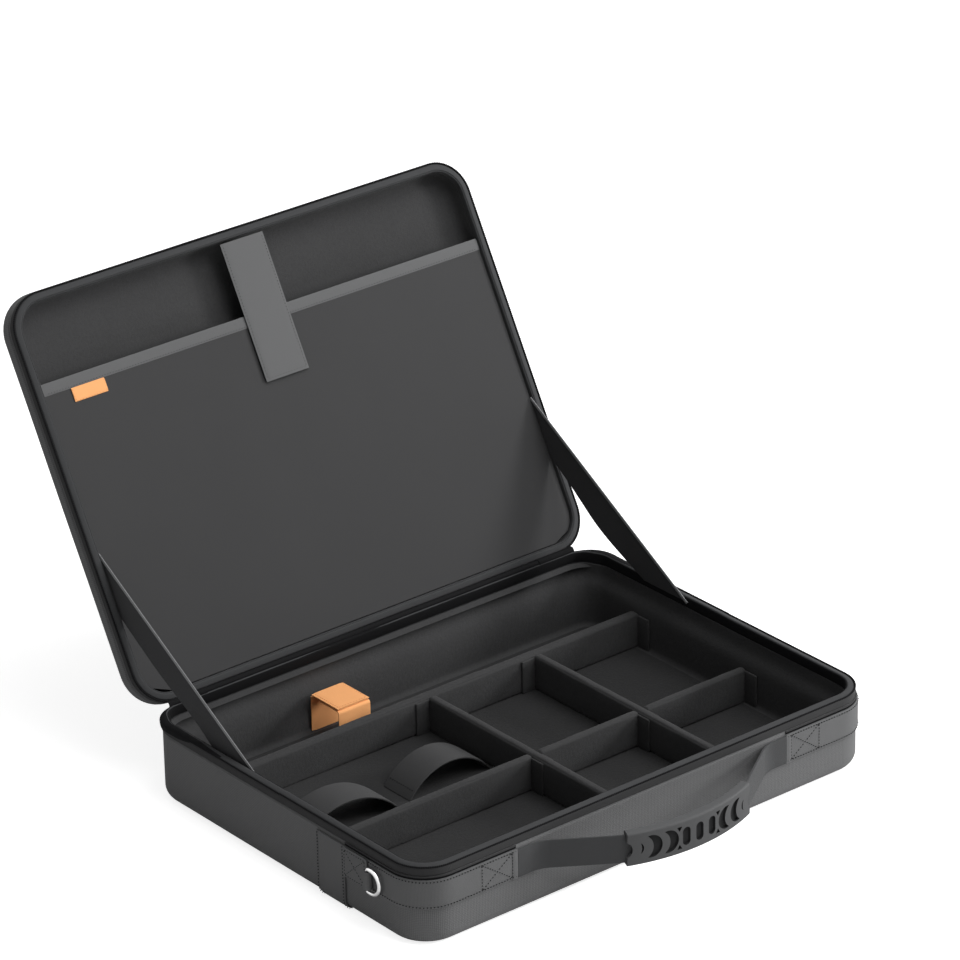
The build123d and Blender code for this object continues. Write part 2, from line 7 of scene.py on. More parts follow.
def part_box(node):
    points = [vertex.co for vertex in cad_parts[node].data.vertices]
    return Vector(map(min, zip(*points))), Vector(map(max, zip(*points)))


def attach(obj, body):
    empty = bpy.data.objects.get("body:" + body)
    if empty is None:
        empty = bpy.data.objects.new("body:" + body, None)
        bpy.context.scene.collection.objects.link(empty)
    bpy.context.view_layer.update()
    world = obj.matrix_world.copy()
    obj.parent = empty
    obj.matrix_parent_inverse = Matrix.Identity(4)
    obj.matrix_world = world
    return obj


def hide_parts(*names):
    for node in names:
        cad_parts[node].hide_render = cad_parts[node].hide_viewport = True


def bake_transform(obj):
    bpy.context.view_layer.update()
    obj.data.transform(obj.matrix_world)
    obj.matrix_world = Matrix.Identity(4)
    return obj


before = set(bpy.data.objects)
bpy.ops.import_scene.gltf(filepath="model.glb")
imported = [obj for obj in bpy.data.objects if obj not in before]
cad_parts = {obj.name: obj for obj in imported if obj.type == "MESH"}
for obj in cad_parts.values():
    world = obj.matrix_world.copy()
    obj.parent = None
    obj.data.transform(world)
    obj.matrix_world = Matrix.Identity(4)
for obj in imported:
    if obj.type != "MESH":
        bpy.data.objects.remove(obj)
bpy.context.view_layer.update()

bl_info = {
    "name": "Laptop hard case",
    "version": (1, 0, 0),
    "blender": (4, 5, 0),
    "location": "3D View > Sidebar > Hard case",
    "description": "Dresses a hinged laptop case: shells, linings, zips, webbing and pads",
    "category": "Object",
}

# ---------------------------------------------------------------- sizes
# Everything is built in millimetres, in the frame's own axes, and then scaled.
MM = 0.001


def node_box(node):
    """The frame's own box of a node, in millimetres."""
    return [[v / MM for v in corner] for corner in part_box(node)]


_, (HALF_WIDTH, HALF_DEPTH, SHELL_TOP) = node_box("base_shell")
RIM_TOP = node_box("base_rim")[1][2]
BAND_LOW, BAND_HIGH = (corner[2] for corner in node_box("front_band_left"))
CORNER = 28.0  # radius of the outline's corners
CORE_X, CORE_Y = HALF_WIDTH - CORNER, HALF_DEPTH - CORNER  # centres of those corners
EDGE = 9.0  # radius of the shells' bottom and top edges
WALL = 3.0  # thickness of the moulded shells
FLOOR = 5.0  # level of the lining's floor
RIM_GAP = 0.6  # between the two shut rims
LID_LEVEL = RIM_TOP + RIM_GAP
LID_TOP = LID_LEVEL + 22.0
LID_SHELL_START = LID_LEVEL + 7.4
OPEN_ANGLE = math.radians(119.0)
HINGE_Y, HINGE_Z = HALF_DEPTH + 0.6, RIM_TOP + RIM_GAP / 2
SIDES = ("left", "right")
ALONG_X, ALONG_Y, ALONG_Z = Vector((1, 0, 0)), Vector((0, 1, 0)), Vector((0, 0, 1))


# ---------------------------------------------------------------- groups
def colour_value(name, description, default):
    """A colour that the user can change."""
    return bpy.props.FloatVectorProperty(
        name=name, description=description, default=default, subtype="COLOR", size=3, min=0, max=1)


def length_value(name, description, default, low, high):
    """A length in metres that the user can change."""
    return bpy.props.FloatProperty(
        name=name, description=description, default=default, min=low, max=high, unit="LENGTH")


class CasePalette(bpy.types.PropertyGroup):
    """Colours of the case's cloths and hard pieces"""

    shell: colour_value("Shell cloth", "Woven cloth on both moulded shells", (0.150, 0.151, 0.153))
    lining: colour_value("Lining", "Brushed loop lining of base and lid", (0.050, 0.050, 0.051))
    rim: colour_value("Rim cloth", "Padded rims", (0.056, 0.057, 0.059))
    piping: colour_value(
        "Piping", "Cord piping where the zip meets the shell", (0.140, 0.141, 0.143))
    tape: colour_value("Zip tape", "Woven tape outside the rims", (0.045, 0.045, 0.046))
    # Dark trim also colours the strip above the front band, painted shadow, and the rear cover's
    # taper along the sides, painted shade.
    dark: colour_value(
        "Dark trim", "Zip teeth, seams and the base's inner binding", (0.0065, 0.0065, 0.007))
    pocket: colour_value("Pocket", "Stretch cloth of the lid pocket", (0.053, 0.053, 0.054))
    gusset: colour_value("Gussets", "Thin webs that hold the open lid", (0.052, 0.052, 0.054))
    strap: colour_value("Light strap", "Closing strap and pocket binding", (0.130, 0.131, 0.133))
    band: colour_value("Bands", "Webbing bands round the base", (0.142, 0.143, 0.145))
    webbing: colour_value("Handle webbing", "Webbing of the handle strap", (0.068, 0.069, 0.071))
    accent: colour_value("Accent", "Orange tie strap and tag", (1.0, 0.47, 0.19))
    grip: colour_value("Grip", "Moulded handle sleeve", (0.080, 0.081, 0.083))


class CaseSizes(bpy.types.PropertyGroup):
    """Sizes that change how fine or soft the case's pieces look"""

    weave_pitch: length_value(
        "Weave pitch", "Width of one thread group in the shell's cloth", 0.0013, 0.0003, 0.005)
    stitch_length: length_value("Stitch length", "Length of one stitch", 0.0009, 0.0005, 0.01)
    stitch_gap: length_value("Stitch gap", "Gap between two stitches", 0.0015, 0.0002, 0.01)
    tooth_pitch: length_value(
        "Tooth pitch", "Distance between two turns of the zip coil", 0.0015, 0.0005, 0.005)
    slack: length_value("Slack", "How far cloth wanders from its plain shape", 0.00025, 0.0, 0.002)


def palette():
    return bpy.context.scene.case_palette


def sizes():
    return bpy.context.scene.case_sizes


# ------------------------------------------------------------- materials
def put(socket, value):
    """Links a socket to another one, or gives it a plain value."""
    if isinstance(value, bpy.types.NodeSocket):
        socket.id_data.links.new(value, socket)
    else:
        socket.default_value = value


def add_node(tree, kind, operation=None, *places, **values):
    """A new shader node. places fill its sockets in order, values fill those that they name."""
    node = tree.nodes.new("ShaderNode" + kind)
    if operation:
        node.operation = operation
    for socket, value in zip(node.inputs, places):
        put(socket, value)
    for name, value in values.items():
        put(node.inputs[name.replace("_", " ")], value)
    return node


class Finish:
    """A material's node tree, written one socket at a time."""

    def __init__(self, name, colour, roughness, sheen=0.0, metallic=0.0, specular=0.08):
        self.material = bpy.data.materials.new(name)
        self.material.use_nodes = True
        self.tree = self.material.node_tree
        self.shader = self.tree.nodes["Principled BSDF"]
        self.colour = (*colour, 1)
        values = {"Base Color": self.colour, "Roughness": roughness, "Metallic": metallic,
                  "Specular IOR Level": specular}
        if sheen:
            values.update({"Sheen Weight": sheen, "Sheen Roughness": 0.45})
        for socket, value in values.items():
            self.shader.inputs[socket].default_value = value
        self.place = self.node("TexCoord").outputs["Object"]

    def node(self, kind, **values):
        return add_node(self.tree, kind, **values)

    def math(self, operation, *values):
        return add_node(self.tree, "Math", operation, *values).outputs[0]

    def cloth(self):
        """Two lengths in metres, along and across the cloth."""
        node = self.node("UVMap")
        node.uv_map = "cloth"
        parts = self.node("SeparateXYZ", Vector=node.outputs[0])
        return parts.outputs[0], parts.outputs[1]

    def noise(self, scale, detail=2.0, roughness=0.5):
        node = self.node(
            "TexNoise", Scale=scale, Detail=detail, Roughness=roughness, Vector=self.place)
        return node.outputs["Fac"]

    def wave(self, length, pitch, operation="ABSOLUTE"):
        """A rounded rib across a length: 0 between ribs and 1 on top."""
        turn = self.math("MULTIPLY", length, math.pi / pitch)
        return self.math(operation, self.math("SINE", turn))

    def weave(self, pitch, flat=0.6):
        """Threads that pass over and under each other."""
        along, across = self.cloth()
        warp, weft = self.wave(along, pitch), self.wave(across, pitch)
        signs = [self.wave(way, pitch, "SIGN") for way in (along, across)]
        over = self.math("MULTIPLY_ADD", self.math("MULTIPLY", *signs), 0.5, 0.5)
        under = self.math("SUBTRACT", 1.0, over)
        shares = []
        for thread, other, seen in ((warp, weft, over), (weft, warp, under)):
            rounded = self.math("MULTIPLY_ADD", other, 1 - flat, flat)
            top = self.math("MULTIPLY", self.math("POWER", thread, 0.6), rounded)
            shares.append(self.math("MULTIPLY", top, seen))
        return self.math("ADD", *shares)

    def twill(self, pitch, turn=0.5):
        """Slanted ribs, broken into short floats."""
        along, across = self.cloth()
        rib = self.wave(self.math("MULTIPLY_ADD", across, turn, along), pitch)
        floats = self.wave(across, pitch * 1.3)
        return self.math("MULTIPLY", rib, self.math("MULTIPLY_ADD", floats, 0.4, 0.6))

    def ribs(self, pitch, across_them=0.25):
        """Webbing: ribs along its length, crossed by fine threads."""
        along, across = self.cloth()
        rib, thread = self.wave(across, pitch), self.wave(along, pitch * 0.55)
        return self.math("MULTIPLY_ADD", thread, across_them, rib)

    def bump(self, height, distance, strength, below=None):
        """A normal raised by a height in 0..1 times a distance in metres."""
        node = self.node("Bump", Distance=distance, Strength=strength, Height=height)
        if below is not None:
            put(node.inputs["Normal"], below)
        return node.outputs[0]

    def shade(self, height, low, high, after=None):
        """Base colour that runs from low to high times itself with a height."""
        amount = self.node("MapRange", To_Min=low, To_Max=high, Value=height).outputs[0]
        grey = self.node("CombineXYZ", X=amount, Y=amount, Z=amount)
        node = self.node("Mix")
        node.data_type, node.blend_type = "RGBA", "MULTIPLY"
        node.inputs["Factor"].default_value = 1.0
        put(node.inputs[6], self.colour if after is None else after)
        put(node.inputs[7], grey.outputs[0])
        return node.outputs[2]

    def done(self, colour, normal, roughness=None):
        put(self.shader.inputs["Base Color"], colour)
        put(self.shader.inputs["Normal"], normal)
        if roughness is not None:
            put(self.shader.inputs["Roughness"], roughness)
        return self.material


def woven(name, colour, roughness, sheen, threads, tones, relief, mottle=None, swell=None,
          gloss=None):
    """A woven, twilled or ribbed cloth. threads are its pattern and pitch, tones its darkest
    and lightest shade, and relief how its threads stand out. mottle adds wide noise to the
    shade and swell adds it to the relief; gloss ties the roughness to the threads."""
    f = Finish(name, colour, roughness, sheen)
    pattern, *pitch = threads
    weave = pattern(f, *pitch)
    tone = f.shade(weave, *tones)
    if mottle:
        scale, *tones = mottle
        tone = f.shade(f.noise(scale, 3), *tones, after=tone)
    normal = f.bump(weave, *relief)
    if swell:
        scale, detail, *relief = swell
        normal = f.bump(f.noise(scale, detail), *relief, below=normal)
    return f.done(tone, normal, gloss and f.math("MULTIPLY_ADD", weave, *gloss))


def pile(name, colour, sheen=0.08):
    """Brushed loops: fuzz, tufts and wide brush marks."""
    f = Finish(name, colour, 0.92, sheen, specular=0.05)
    fuzz, tuft = f.noise(2600.0, 2, 0.65), f.noise(420.0, 3, 0.6)
    tone = f.shade(fuzz, 0.78, 1.22)
    tone = f.shade(tuft, 0.88, 1.12, after=tone)
    tone = f.shade(f.noise(26.0, 3, 0.6), 0.90, 1.10, after=tone)
    normal = f.bump(fuzz, 0.0004, 0.5)
    return f.done(tone, f.bump(tuft, 0.0006, 0.45, below=normal))


def grained(name, colour, roughness, specular, grain, tones, relief, gloss=None, metallic=0.0):
    """A hard piece or a thread: one fine grain shades it, raises it and varies its gloss."""
    f = Finish(name, colour, roughness, metallic=metallic, specular=specular)
    mark = f.noise(*grain)
    return f.done(f.shade(mark, *tones), f.bump(mark, *relief),
                  gloss and f.math("MULTIPLY_ADD", mark, *gloss))


def coil_nylon():
    f = Finish("zip nylon", [c * 1.4 for c in palette().dark], 0.7, specular=0.05)
    return f.done(f.shade(f.noise(900.0, 2), 0.8, 1.25), f.bump(f.noise(1500.0, 2), 0.00005, 0.4))


def moulded_rubber():
    f = Finish("moulded rubber", palette().grip, 0.62, specular=0.2)
    grain, worn = f.noise(1500.0, 3, 0.6), f.noise(24.0, 3)
    tone = f.shade(worn, 0.95, 1.05, after=f.shade(grain, 0.92, 1.08))
    return f.done(tone, f.bump(grain, 0.00012, 0.5), f.math("MULTIPLY_ADD", worn, 0.15, 0.52))


FINE_RIB, RIB = 0.0006, 0.0009
FINISH_MAKERS = {
    "shell": lambda: woven(
        "shell ballistic cloth", palette().shell, 0.72, 0.05, (Finish.weave, sizes().weave_pitch),
        (0.67, 1.19), (0.00022, 0.7), (14.0, 0.95, 1.05), (55.0, 3, 0.0004, 0.35), (-0.12, 0.80)),
    "lining": lambda: pile("brushed lining", palette().lining),
    # The floor pile is the lining's colour times 0.62: painted shade on the compartments' floors.
    "lining_floor_painted_shade": lambda: pile("floor pile painted shade", [c * 0.62 for c in palette().lining]),
    "divider": lambda: pile("divider pile", palette().lining),
    "loop": lambda: pile("hook and loop pile", (0.040, 0.040, 0.042), 0.15),
    "rim": lambda: woven(
        "padded rim cloth", palette().rim, 0.85, 0.06, (Finish.twill, 0.0007),
        (0.86, 1.10), (0.00012, 0.5), (18.0, 0.93, 1.07), (80.0, 2, 0.0006, 0.3)),
    "tape": lambda: woven(
        "zip tape", palette().tape, 0.78, 0.05, (Finish.twill, 0.0008),
        (0.80, 1.12), (0.00014, 0.6), (30.0, 0.92, 1.08)),
    "dark": lambda: woven(
        "dark binding", palette().dark, 0.8, 0.0, (Finish.ribs, RIB), (0.7, 1.4), (0.0002, 0.6)),
    "light_binding": lambda: woven(
        "light binding", palette().rim, 0.8, 0.05, (Finish.ribs, RIB),
        (0.85, 1.15), (0.0002, 0.6)),
    "coil": coil_nylon,
    "piping": lambda: woven(
        "piping cloth", palette().piping, 0.75, 0.05, (Finish.weave, FINE_RIB),
        (0.82, 1.12), (0.00012, 0.6)),
    "pocket": lambda: woven(
        "pocket stretch cloth", palette().pocket, 0.85, 0.08, (Finish.twill, FINE_RIB, 0.8),
        (0.90, 1.08), (0.0001, 0.4), (9.0, 0.95, 1.05), (22.0, 2, 0.0012, 0.2)),
    "strap": lambda: woven(
        "light strap", palette().strap, 0.8, 0.05, (Finish.weave, sizes().weave_pitch * 0.5),
        (0.88, 1.06), (0.00012, 0.5), (18.0, 0.97, 1.03)),
    "band": lambda: woven(
        "band webbing", palette().band, 0.74, 0.05, (Finish.weave, sizes().weave_pitch * 0.7),
        (0.82, 1.10), (0.0002, 0.6), (20.0, 0.94, 1.06)),
    "handle": lambda: woven(
        "handle webbing", palette().webbing, 0.76, 0.05,
        (Finish.weave, sizes().weave_pitch * 0.5), (0.88, 1.06), (0.00018, 0.5)),
    "elastic": lambda: woven(
        "elastic", palette().pocket, 0.85, 0.06, (Finish.ribs, 0.0010, 0.15),
        (0.86, 1.20), (0.0002, 0.5)),
    "accent": lambda: woven(
        "orange strap", palette().accent, 0.75, 0.08, (Finish.weave, 0.0008),
        (0.88, 1.04), (0.00015, 0.6), (60.0, 0.95, 1.05)),
    "accent_edge": lambda: woven(
        "orange stitched edge", (0.62, 0.17, 0.05), 0.8, 0.0, (Finish.ribs, FINE_RIB),
        (0.8, 1.15), (0.0001, 0.5)),
    "gusset": lambda: woven(
        "gusset cloth", palette().gusset, 0.85, 0.06, (Finish.weave, FINE_RIB),
        (0.88, 1.08), (0.0001, 0.5)),
    "hem": lambda: woven(
        "light hem", (0.27, 0.272, 0.278), 0.8, 0.06, (Finish.ribs, FINE_RIB),
        (0.85, 1.1), (0.0001, 0.5)),
    "thread": lambda: grained(
        "dark thread", (0.016, 0.016, 0.017), 0.8, 0.08, (2200.0, 1), (0.7, 1.3), (0.0001, 0.5)),
    "rubber": moulded_rubber,
    # The grip's colour times 0.42 with little gloss in its recesses: painted shade.
    "rubber_recess_painted_shade": lambda: grained(
        "recessed rubber painted shade", [c * 0.42 for c in palette().grip], 0.85, 0.03, (1500.0, 3, 0.6),
        (0.85, 1.15), (0.00012, 0.5)),
    "nickel": lambda: grained(
        "polished nickel", (0.93, 0.93, 0.93), 0.16, 0.5, (120.0, 4, 0.6),
        (0.96, 1.03), (0.00004, 0.3), (0.16, 0.08), metallic=1.0),
    "enamel": lambda: grained(
        "dark enamel", (0.045, 0.045, 0.048), 0.42, 0.5, (300.0, 4, 0.6),
        (0.8, 1.3), (0.00004, 0.3), (0.25, 0.28), metallic=0.6),
}
FINISHES = {}


def finish(name):
    """The named material, made once."""
    if name not in FINISHES:
        FINISHES[name] = FINISH_MAKERS[name]()
    return FINISHES[name]


# ----------------------------------------------------------- mesh helpers
LID_TURN = (
    Matrix.Translation((0, HINGE_Y, HINGE_Z))
    @ Matrix.Rotation(-OPEN_ANGLE, 4, "X")
    @ Matrix.Translation((0, -HINGE_Y, -HINGE_Z))
)
LID_WAY = LID_TURN.to_3x3()


def lid_point(x, distance, depth):
    """A point of the open lid: along it from the hinge, and into it."""
    c, s = math.cos(OPEN_ANGLE), math.sin(OPEN_ANGLE)
    return Vector((x, HINGE_Y - distance * c + depth * s, HINGE_Z + distance * s + depth * c))


def around(radius, degrees, centre=(0.0, 0.0)):
    """A point on a circle, its angle in degrees."""
    turn = math.radians(degrees)
    return centre[0] + radius * math.cos(turn), centre[1] + radius * math.sin(turn)


def arc(centre, radius, start, end, steps=5):
    """Points of a rounded edge in a profile, angles in degrees."""
    return [around(radius, start + (end - start) * k / steps, centre) for k in range(steps + 1)]


def spread(start, end, steps):
    """Evenly spaced values from start to end."""
    return [start + (end - start) * k / steps for k in range(steps + 1)]


def smooth(value):
    """Eases from 0 to 1 as value does."""
    value = min(max(value, 0.0), 1.0)
    return value * value * (3 - 2 * value)


def wander(point, scale, amount, seed=0.0):
    """A soft, repeatable offset."""
    return noise.noise(Vector(point) * scale + Vector((seed, 7.3 * seed, -seed))) * amount


def profile_lengths(profile):
    """How far along a profile each of its points lies."""
    found = [0.0]
    for a, b in zip(profile, profile[1:]):
        found.append(found[-1] + math.dist(a, b))
    return found


def line_ways(points):
    """The direction of a line at each of its points, from its neighbours."""
    last = len(points) - 1
    return [(points[min(k + 1, last)] - points[max(k - 1, 0)]).normalized()
            for k in range(last + 1)]


class Cloth:
    """Vertices in millimetres with faces, cloth lengths and finishes."""

    def __init__(self):
        self.points, self.faces, self.lengths, self.slots = [], [], [], []

    def add(self, point):
        self.points.append(Vector(point))
        return len(self.points) - 1

    def face(self, corners, lengths, slot=0):
        self.faces.append(list(corners))
        self.lengths.append([(u * MM, v * MM) for u, v in lengths])
        self.slots.append(slot)

    def grid(self, rows, lengths, closed_u=False, closed_v=False, flip=False):
        """Faces between rows of points; lengths gives (u, v) for a row and column."""
        ids = [[self.add(p) for p in row] for row in rows]
        n, m = len(ids), len(ids[0])
        for i in range(n if closed_u else n - 1):
            for j in range(m if closed_v else m - 1):
                i2, j2 = (i + 1) % n, (j + 1) % m
                corners = [ids[i][j], ids[i2][j], ids[i2][j2], ids[i][j2]]
                places = [lengths(*at) for at in ((i, j), (i + 1, j), (i + 1, j + 1), (i, j + 1))]
                if flip:
                    corners.reverse()
                    places.reverse()
                self.face(corners, places)
        return ids

    def caps(self, ids, lengths=None):
        """Closes both ends of a tube of rows."""
        for row in (ids[0], ids[-1]):
            self.face(row, lengths or [(0, 0)] * len(row))

    def cover(self, rows, k, slot=0):
        """A flat face across a ring: column k of rows that run round the outline."""
        self.face([self.add(row[k]) for row in rows], [(row[k].x, row[k].y) for row in rows], slot)

    def edges(self, front, back, ends, flanks):
        """Joins two layers at their end rows and at their end columns."""
        for k in (0, -1):
            self.grid([front[k], back[k]], ends)
        for k in (0, -1):
            self.grid([[row[k] for row in front], [row[k] for row in back]], flanks)

    def lid(self):
        """Swings what was drawn on the shut lid to where the open one is."""
        self.points = [LID_TURN @ p for p in self.points]
        return self

    def on(self, side):
        """The same as built on the left, or its mirror image for the right."""
        if side == "left":
            return self
        other = Cloth()
        other.points = [Vector((-p.x, p.y, p.z)) for p in self.points]
        other.faces = [f[::-1] for f in self.faces]
        other.lengths = [f[::-1] for f in self.lengths]
        other.slots = list(self.slots)
        return other

    def join(self, other):
        start = len(self.points)
        self.points += other.points
        self.faces += [[i + start for i in f] for f in other.faces]
        self.lengths += other.lengths
        self.slots += other.slots

    def piece(self, name, body, finishes, replaces, slot, sharp=40.0):
        """Makes the object, rides it on its body and hides what it replaces."""
        mesh = bpy.data.meshes.new(name)
        mesh.from_pydata([p * MM for p in self.points], [], self.faces)
        layer = mesh.uv_layers.new(name="cloth")
        for loop, uv in zip(layer.data, [uv for face in self.lengths for uv in face]):
            loop.uv = uv
        for key in finishes:
            mesh.materials.append(finish(key))
        mesh.polygons.foreach_set("material_index", self.slots)
        mesh.update()
        work = bmesh.new()
        work.from_mesh(mesh)
        bmesh.ops.remove_doubles(work, verts=work.verts, dist=1e-6)
        bmesh.ops.recalc_face_normals(work, faces=work.faces)
        work.to_mesh(mesh)
        work.free()
        mesh.shade_smooth()
        mesh.set_sharp_from_angle(angle=math.radians(sharp))
        thing = bpy.data.objects.new(name, mesh)
        bpy.context.scene.collection.objects.link(thing)
        if body:
            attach(thing, body)
        if replaces:
            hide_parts(*replaces)
        return thing


def both_sides(*pieces):
    """Makes each (cloth, name, finish, node, slot) on the left and mirrored on the right."""
    for side in SIDES:
        for cloth, name, key, node, slot in pieces:
            replaced = [f"{node}_{side}"] if node else ()
            cloth.on(side).piece(f"{name}_{side}", "base", [key], replaced, slot)


# ---------------------------------------------------------- round the case
def stations(corner_steps=14, side_step=12.0):
    """Points round the case's outline, as (core x, core y, normal x, normal y, length)."""
    found, length = [], 0.0
    cores = [(-CORE_X, -CORE_Y), (CORE_X, -CORE_Y), (CORE_X, CORE_Y), (-CORE_X, CORE_Y)]
    for k, heading in enumerate((-90, 0, 90, 180)):
        start, end = cores[k], cores[(k + 1) % 4]
        reach = math.dist(start, end)
        steps = max(1, round(reach / side_step))
        for share in (i / steps for i in range(steps)):
            x, y = (a + (b - a) * share for a, b in zip(start, end))
            found.append((x, y, *around(1.0, heading), length + reach * share))
        length += reach
        for turn in (90.0 * i / corner_steps for i in range(corner_steps)):
            at = length + CORNER * math.radians(turn)
            found.append((*end, *around(1.0, heading + turn), at))
        length += CORNER * math.pi / 2
    return found, length


def outline_point(station, inset, level):
    x, y, nx, ny, _ = station
    return Vector((x + nx * (CORNER - inset), y + ny * (CORNER - inset), level))


def around_lengths(found, total, across):
    """Cloth lengths of a profile swept round the whole outline."""
    return lambda i, j: (found[i][4] if i < len(found) else total, across[j])


REAR_LEAN, CORNER_FLARE = 4.2, 2.0
REAR_HALF = 152.0  # half of the rear stretch that the fabric hinge takes
# Along each side the rear cover tapers out as a dark sheet laid as painted shade.
COVER_SHADE_RUN = 56.0  # how far the rear cover reaches forward along each side
MELTED = 0.68  # what is left of a profile that has drawn in


def slump(station, inset, height):
    """How the open base's soft edge sits: drawn out at the rear corners by the
    zip's ends, and thin along the rear, where its inner face leans back."""
    _, y, nx, ny, _ = station
    up = smooth((height - SHELL_TOP + 9.0) / 10.0)
    lean = REAR_LEAN * smooth((ny - 0.55) / 0.45) * smooth((inset - 2.0) / 3.5)
    corner = smooth(1.0 - abs(math.degrees(math.atan2(ny, abs(nx))) - 38.0) / 52.0)
    flare = CORNER_FLARE * corner * smooth((height - SHELL_TOP) / 6.0) if y >= 0 else 0.0
    return -(lean + flare) * up


def off_rear(station):
    """True away from the stretch that the fabric hinge takes."""
    return not (station[3] > 0.999 and abs(station[0]) < REAR_HALF)


def at_rear(station):
    """True along the rear, round its corners and a short way along each side: black tape covers
    the rim at the rear, and the dark sheet along the sides is painted shade.
    """
    _, y, nx, ny, _ = station
    return y > 0 and (ny > 0.02 or (abs(nx) > 0.9 and y > CORE_Y - COVER_SHADE_RUN))


def cover_share(station):
    """1 round the rear, falling to 0 at the cover's ends on the two sides."""
    return smooth((station[1] - (CORE_Y - COVER_SHADE_RUN)) / COVER_SHADE_RUN)


def keep_runs(found, keep):
    """The stretches of stations that keep accepts, in order round the outline."""
    flags = [keep(s) for s in found]
    start = next(i for i in range(len(found)) if flags[i] and not flags[i - 1])
    runs, run = [], []
    for s, flag in zip(found[start:] + found[:start], flags[start:] + flags[:start]):
        if flag:
            run.append(s)
        elif run:
            runs.append(run)
            run = []
    return [r for r in (*runs, run) if len(r) > 1]


def hoop(profile, side_step=12.0, soft=0.0, seed=1.0, keep=None, slumped=False, melt=None):
    """A closed profile of (inset, level) swept round the outline. keep limits it to part of
    it. melt is a point and a rule: the profile draws in to that point where the rule falls
    to 0."""
    found, total = stations(side_step=side_step)
    cloth = Cloth()
    across = profile_lengths(profile + [profile[0]])
    for run in keep_runs(found, keep) if keep else [found]:
        rows = []
        for s in run:
            row = []
            for inset, level in profile:
                if melt:
                    (middle_inset, middle_level), rule = melt
                    share = MELTED + (1 - MELTED) * rule(s)
                    inset = middle_inset + (inset - middle_inset) * share
                    level = middle_level + (level - middle_level) * share
                move = wander(outline_point(s, inset, level), 0.02, soft, seed) if soft else 0.0
                if slumped:
                    move += slump(s, inset, level)
                row.append(outline_point(s, inset + move, level))
            rows.append(row)
        cloth.grid(rows, around_lengths(run, total, across), closed_u=not keep, closed_v=True)
        if keep:
            cloth.caps([[cloth.add(p) for p in row] for row in (rows[0], rows[-1])],
                       [(p[0], p[1]) for p in profile])
    return cloth


def strap_section(width, thickness, crown=0.0, edge=0.35, columns=8):
    """A strap's outline as (across, out), with rounded edges and a slight crown."""
    section = []
    for face, order in ((1, range(columns + 1)), (-1, range(columns, -1, -1))):
        for k in order:
            out = face * (thickness / 2 - (edge if k in (0, columns) else 0.0))
            if face > 0:
                out += crown * (1 - (2 * k / columns - 1) ** 2)
            section.append((-width / 2 + width * k / columns, out))
    return section


def ribbon(points, normals, across_way, *section, **more):
    """A closed strap along points: normals point out of its face, across_way is the direction
    across it, and the rest is for strap_section."""
    cloth = Cloth()
    section = strap_section(*section, **more)
    across = profile_lengths(section + [section[0]])
    points = [Vector(p) for p in points]
    along = profile_lengths(points)
    way = Vector(across_way).normalized()
    normals = [Vector(n).normalized() for n in normals]
    rows = [[p + way * a + n * b for a, b in section] for p, n in zip(points, normals)]
    cloth.caps(cloth.grid(rows, lambda i, j: (along[i], across[j]), closed_v=True), section)
    return cloth


def stitches(paths, up, radius=0.34, sink=0.05):
    """Separate stitches along each path of points; up is the way out of the cloth."""
    seam = Cloth()
    for path in paths:
        seam.join(stitch_run(path, up, radius, sink))
    return seam


def stitch_run(path, up, radius, sink):
    length, gap = sizes().stitch_length / MM, sizes().stitch_gap / MM
    cloth = Cloth()
    path = [Vector(p) for p in path]
    legs = [(b - a).length for a, b in zip(path, path[1:])]
    total = sum(legs)
    count = max(1, round(total / (length + gap)))
    step = total / count
    used = step * length / (length + gap)

    def at(distance):
        distance = min(max(distance, 0.0), total)
        for a, b, leg in zip(path, path[1:], legs):
            if distance <= leg or b is path[-1]:
                return a + (b - a) * (distance / leg if leg else 0)
            distance -= leg

    for k in range(count):
        start = k * step + (step - used) / 2
        rows = []
        for share in (0.0, 0.18, 0.5, 0.82, 1.0):
            middle = start + used * share
            p = at(middle)
            n = Vector(up(p) if callable(up) else up).normalized()
            side = (at(middle + 0.05) - at(middle - 0.05)).normalized().cross(n)
            core = p + n * (radius * (0.2 + 0.8 * math.sin(math.pi * share)) - sink)
            size = radius * (0.45 if share in (0.0, 1.0) else 1.0)
            rows.append([core + side * a + n * b
                         for a, b in (around(size, 30 + 60 * q) for q in range(6))])
        cloth.caps(cloth.grid(rows, lambda i, j: (i * 0.5, j * 0.2), closed_v=True))
    return cloth


def rounded_block(low, high, radius, steps=3, crown=0.0, cut=6.0, seed=1.0, soft=0.0):
    """A padded block: rounded edges and faces that swell by crown."""
    size = [h - l for l, h in zip(low, high)]
    cloth = Cloth()

    def spot(axis, side, u, v):
        """Point on a face; u and v run 0..1 over the whole face."""
        p = [high[axis] if side > 0 else low[axis]] * 3
        for a, share in zip([a for a in range(3) if a != axis], (u, v)):
            p[a] = low[a] + size[a] * share
        core = [min(max(p[a], low[a] + radius), high[a] - radius) for a in range(3)]
        way = Vector([a - b for a, b in zip(p, core)])
        q = Vector(core) + way.normalized() * radius if way.length > 1e-9 else Vector(p)
        fade_u, fade_v = (max(1 - (2 * share - 1) ** 2, 0) for share in (u, v))
        swell = crown * math.sqrt(fade_u * fade_v)
        if soft:
            swell += wander(q, 0.05, soft, seed) * min(1.0, 4 * fade_u * fade_v)
        q[axis] += swell * side
        return q

    def ticks(axis):
        """Where a face is cut along an axis, finer over its rounded edges."""
        r = radius / size[axis]
        edge = [r * (1 - math.cos(math.pi / 2 * k / steps)) for k in range(steps)]
        inner = spread(r, 1 - r, max(2, round(size[axis] / cut)))
        return edge + inner + [1 - e for e in reversed(edge)]

    for axis in range(3):
        a, b = (a for a in range(3) if a != axis)
        us, vs = ticks(a), ticks(b)
        for side in (-1, 1):
            cloth.grid([[spot(axis, side, u, v) for v in vs] for u in us],
                       lambda i, j: (size[a] * us[i], size[b] * vs[j]))
    return cloth


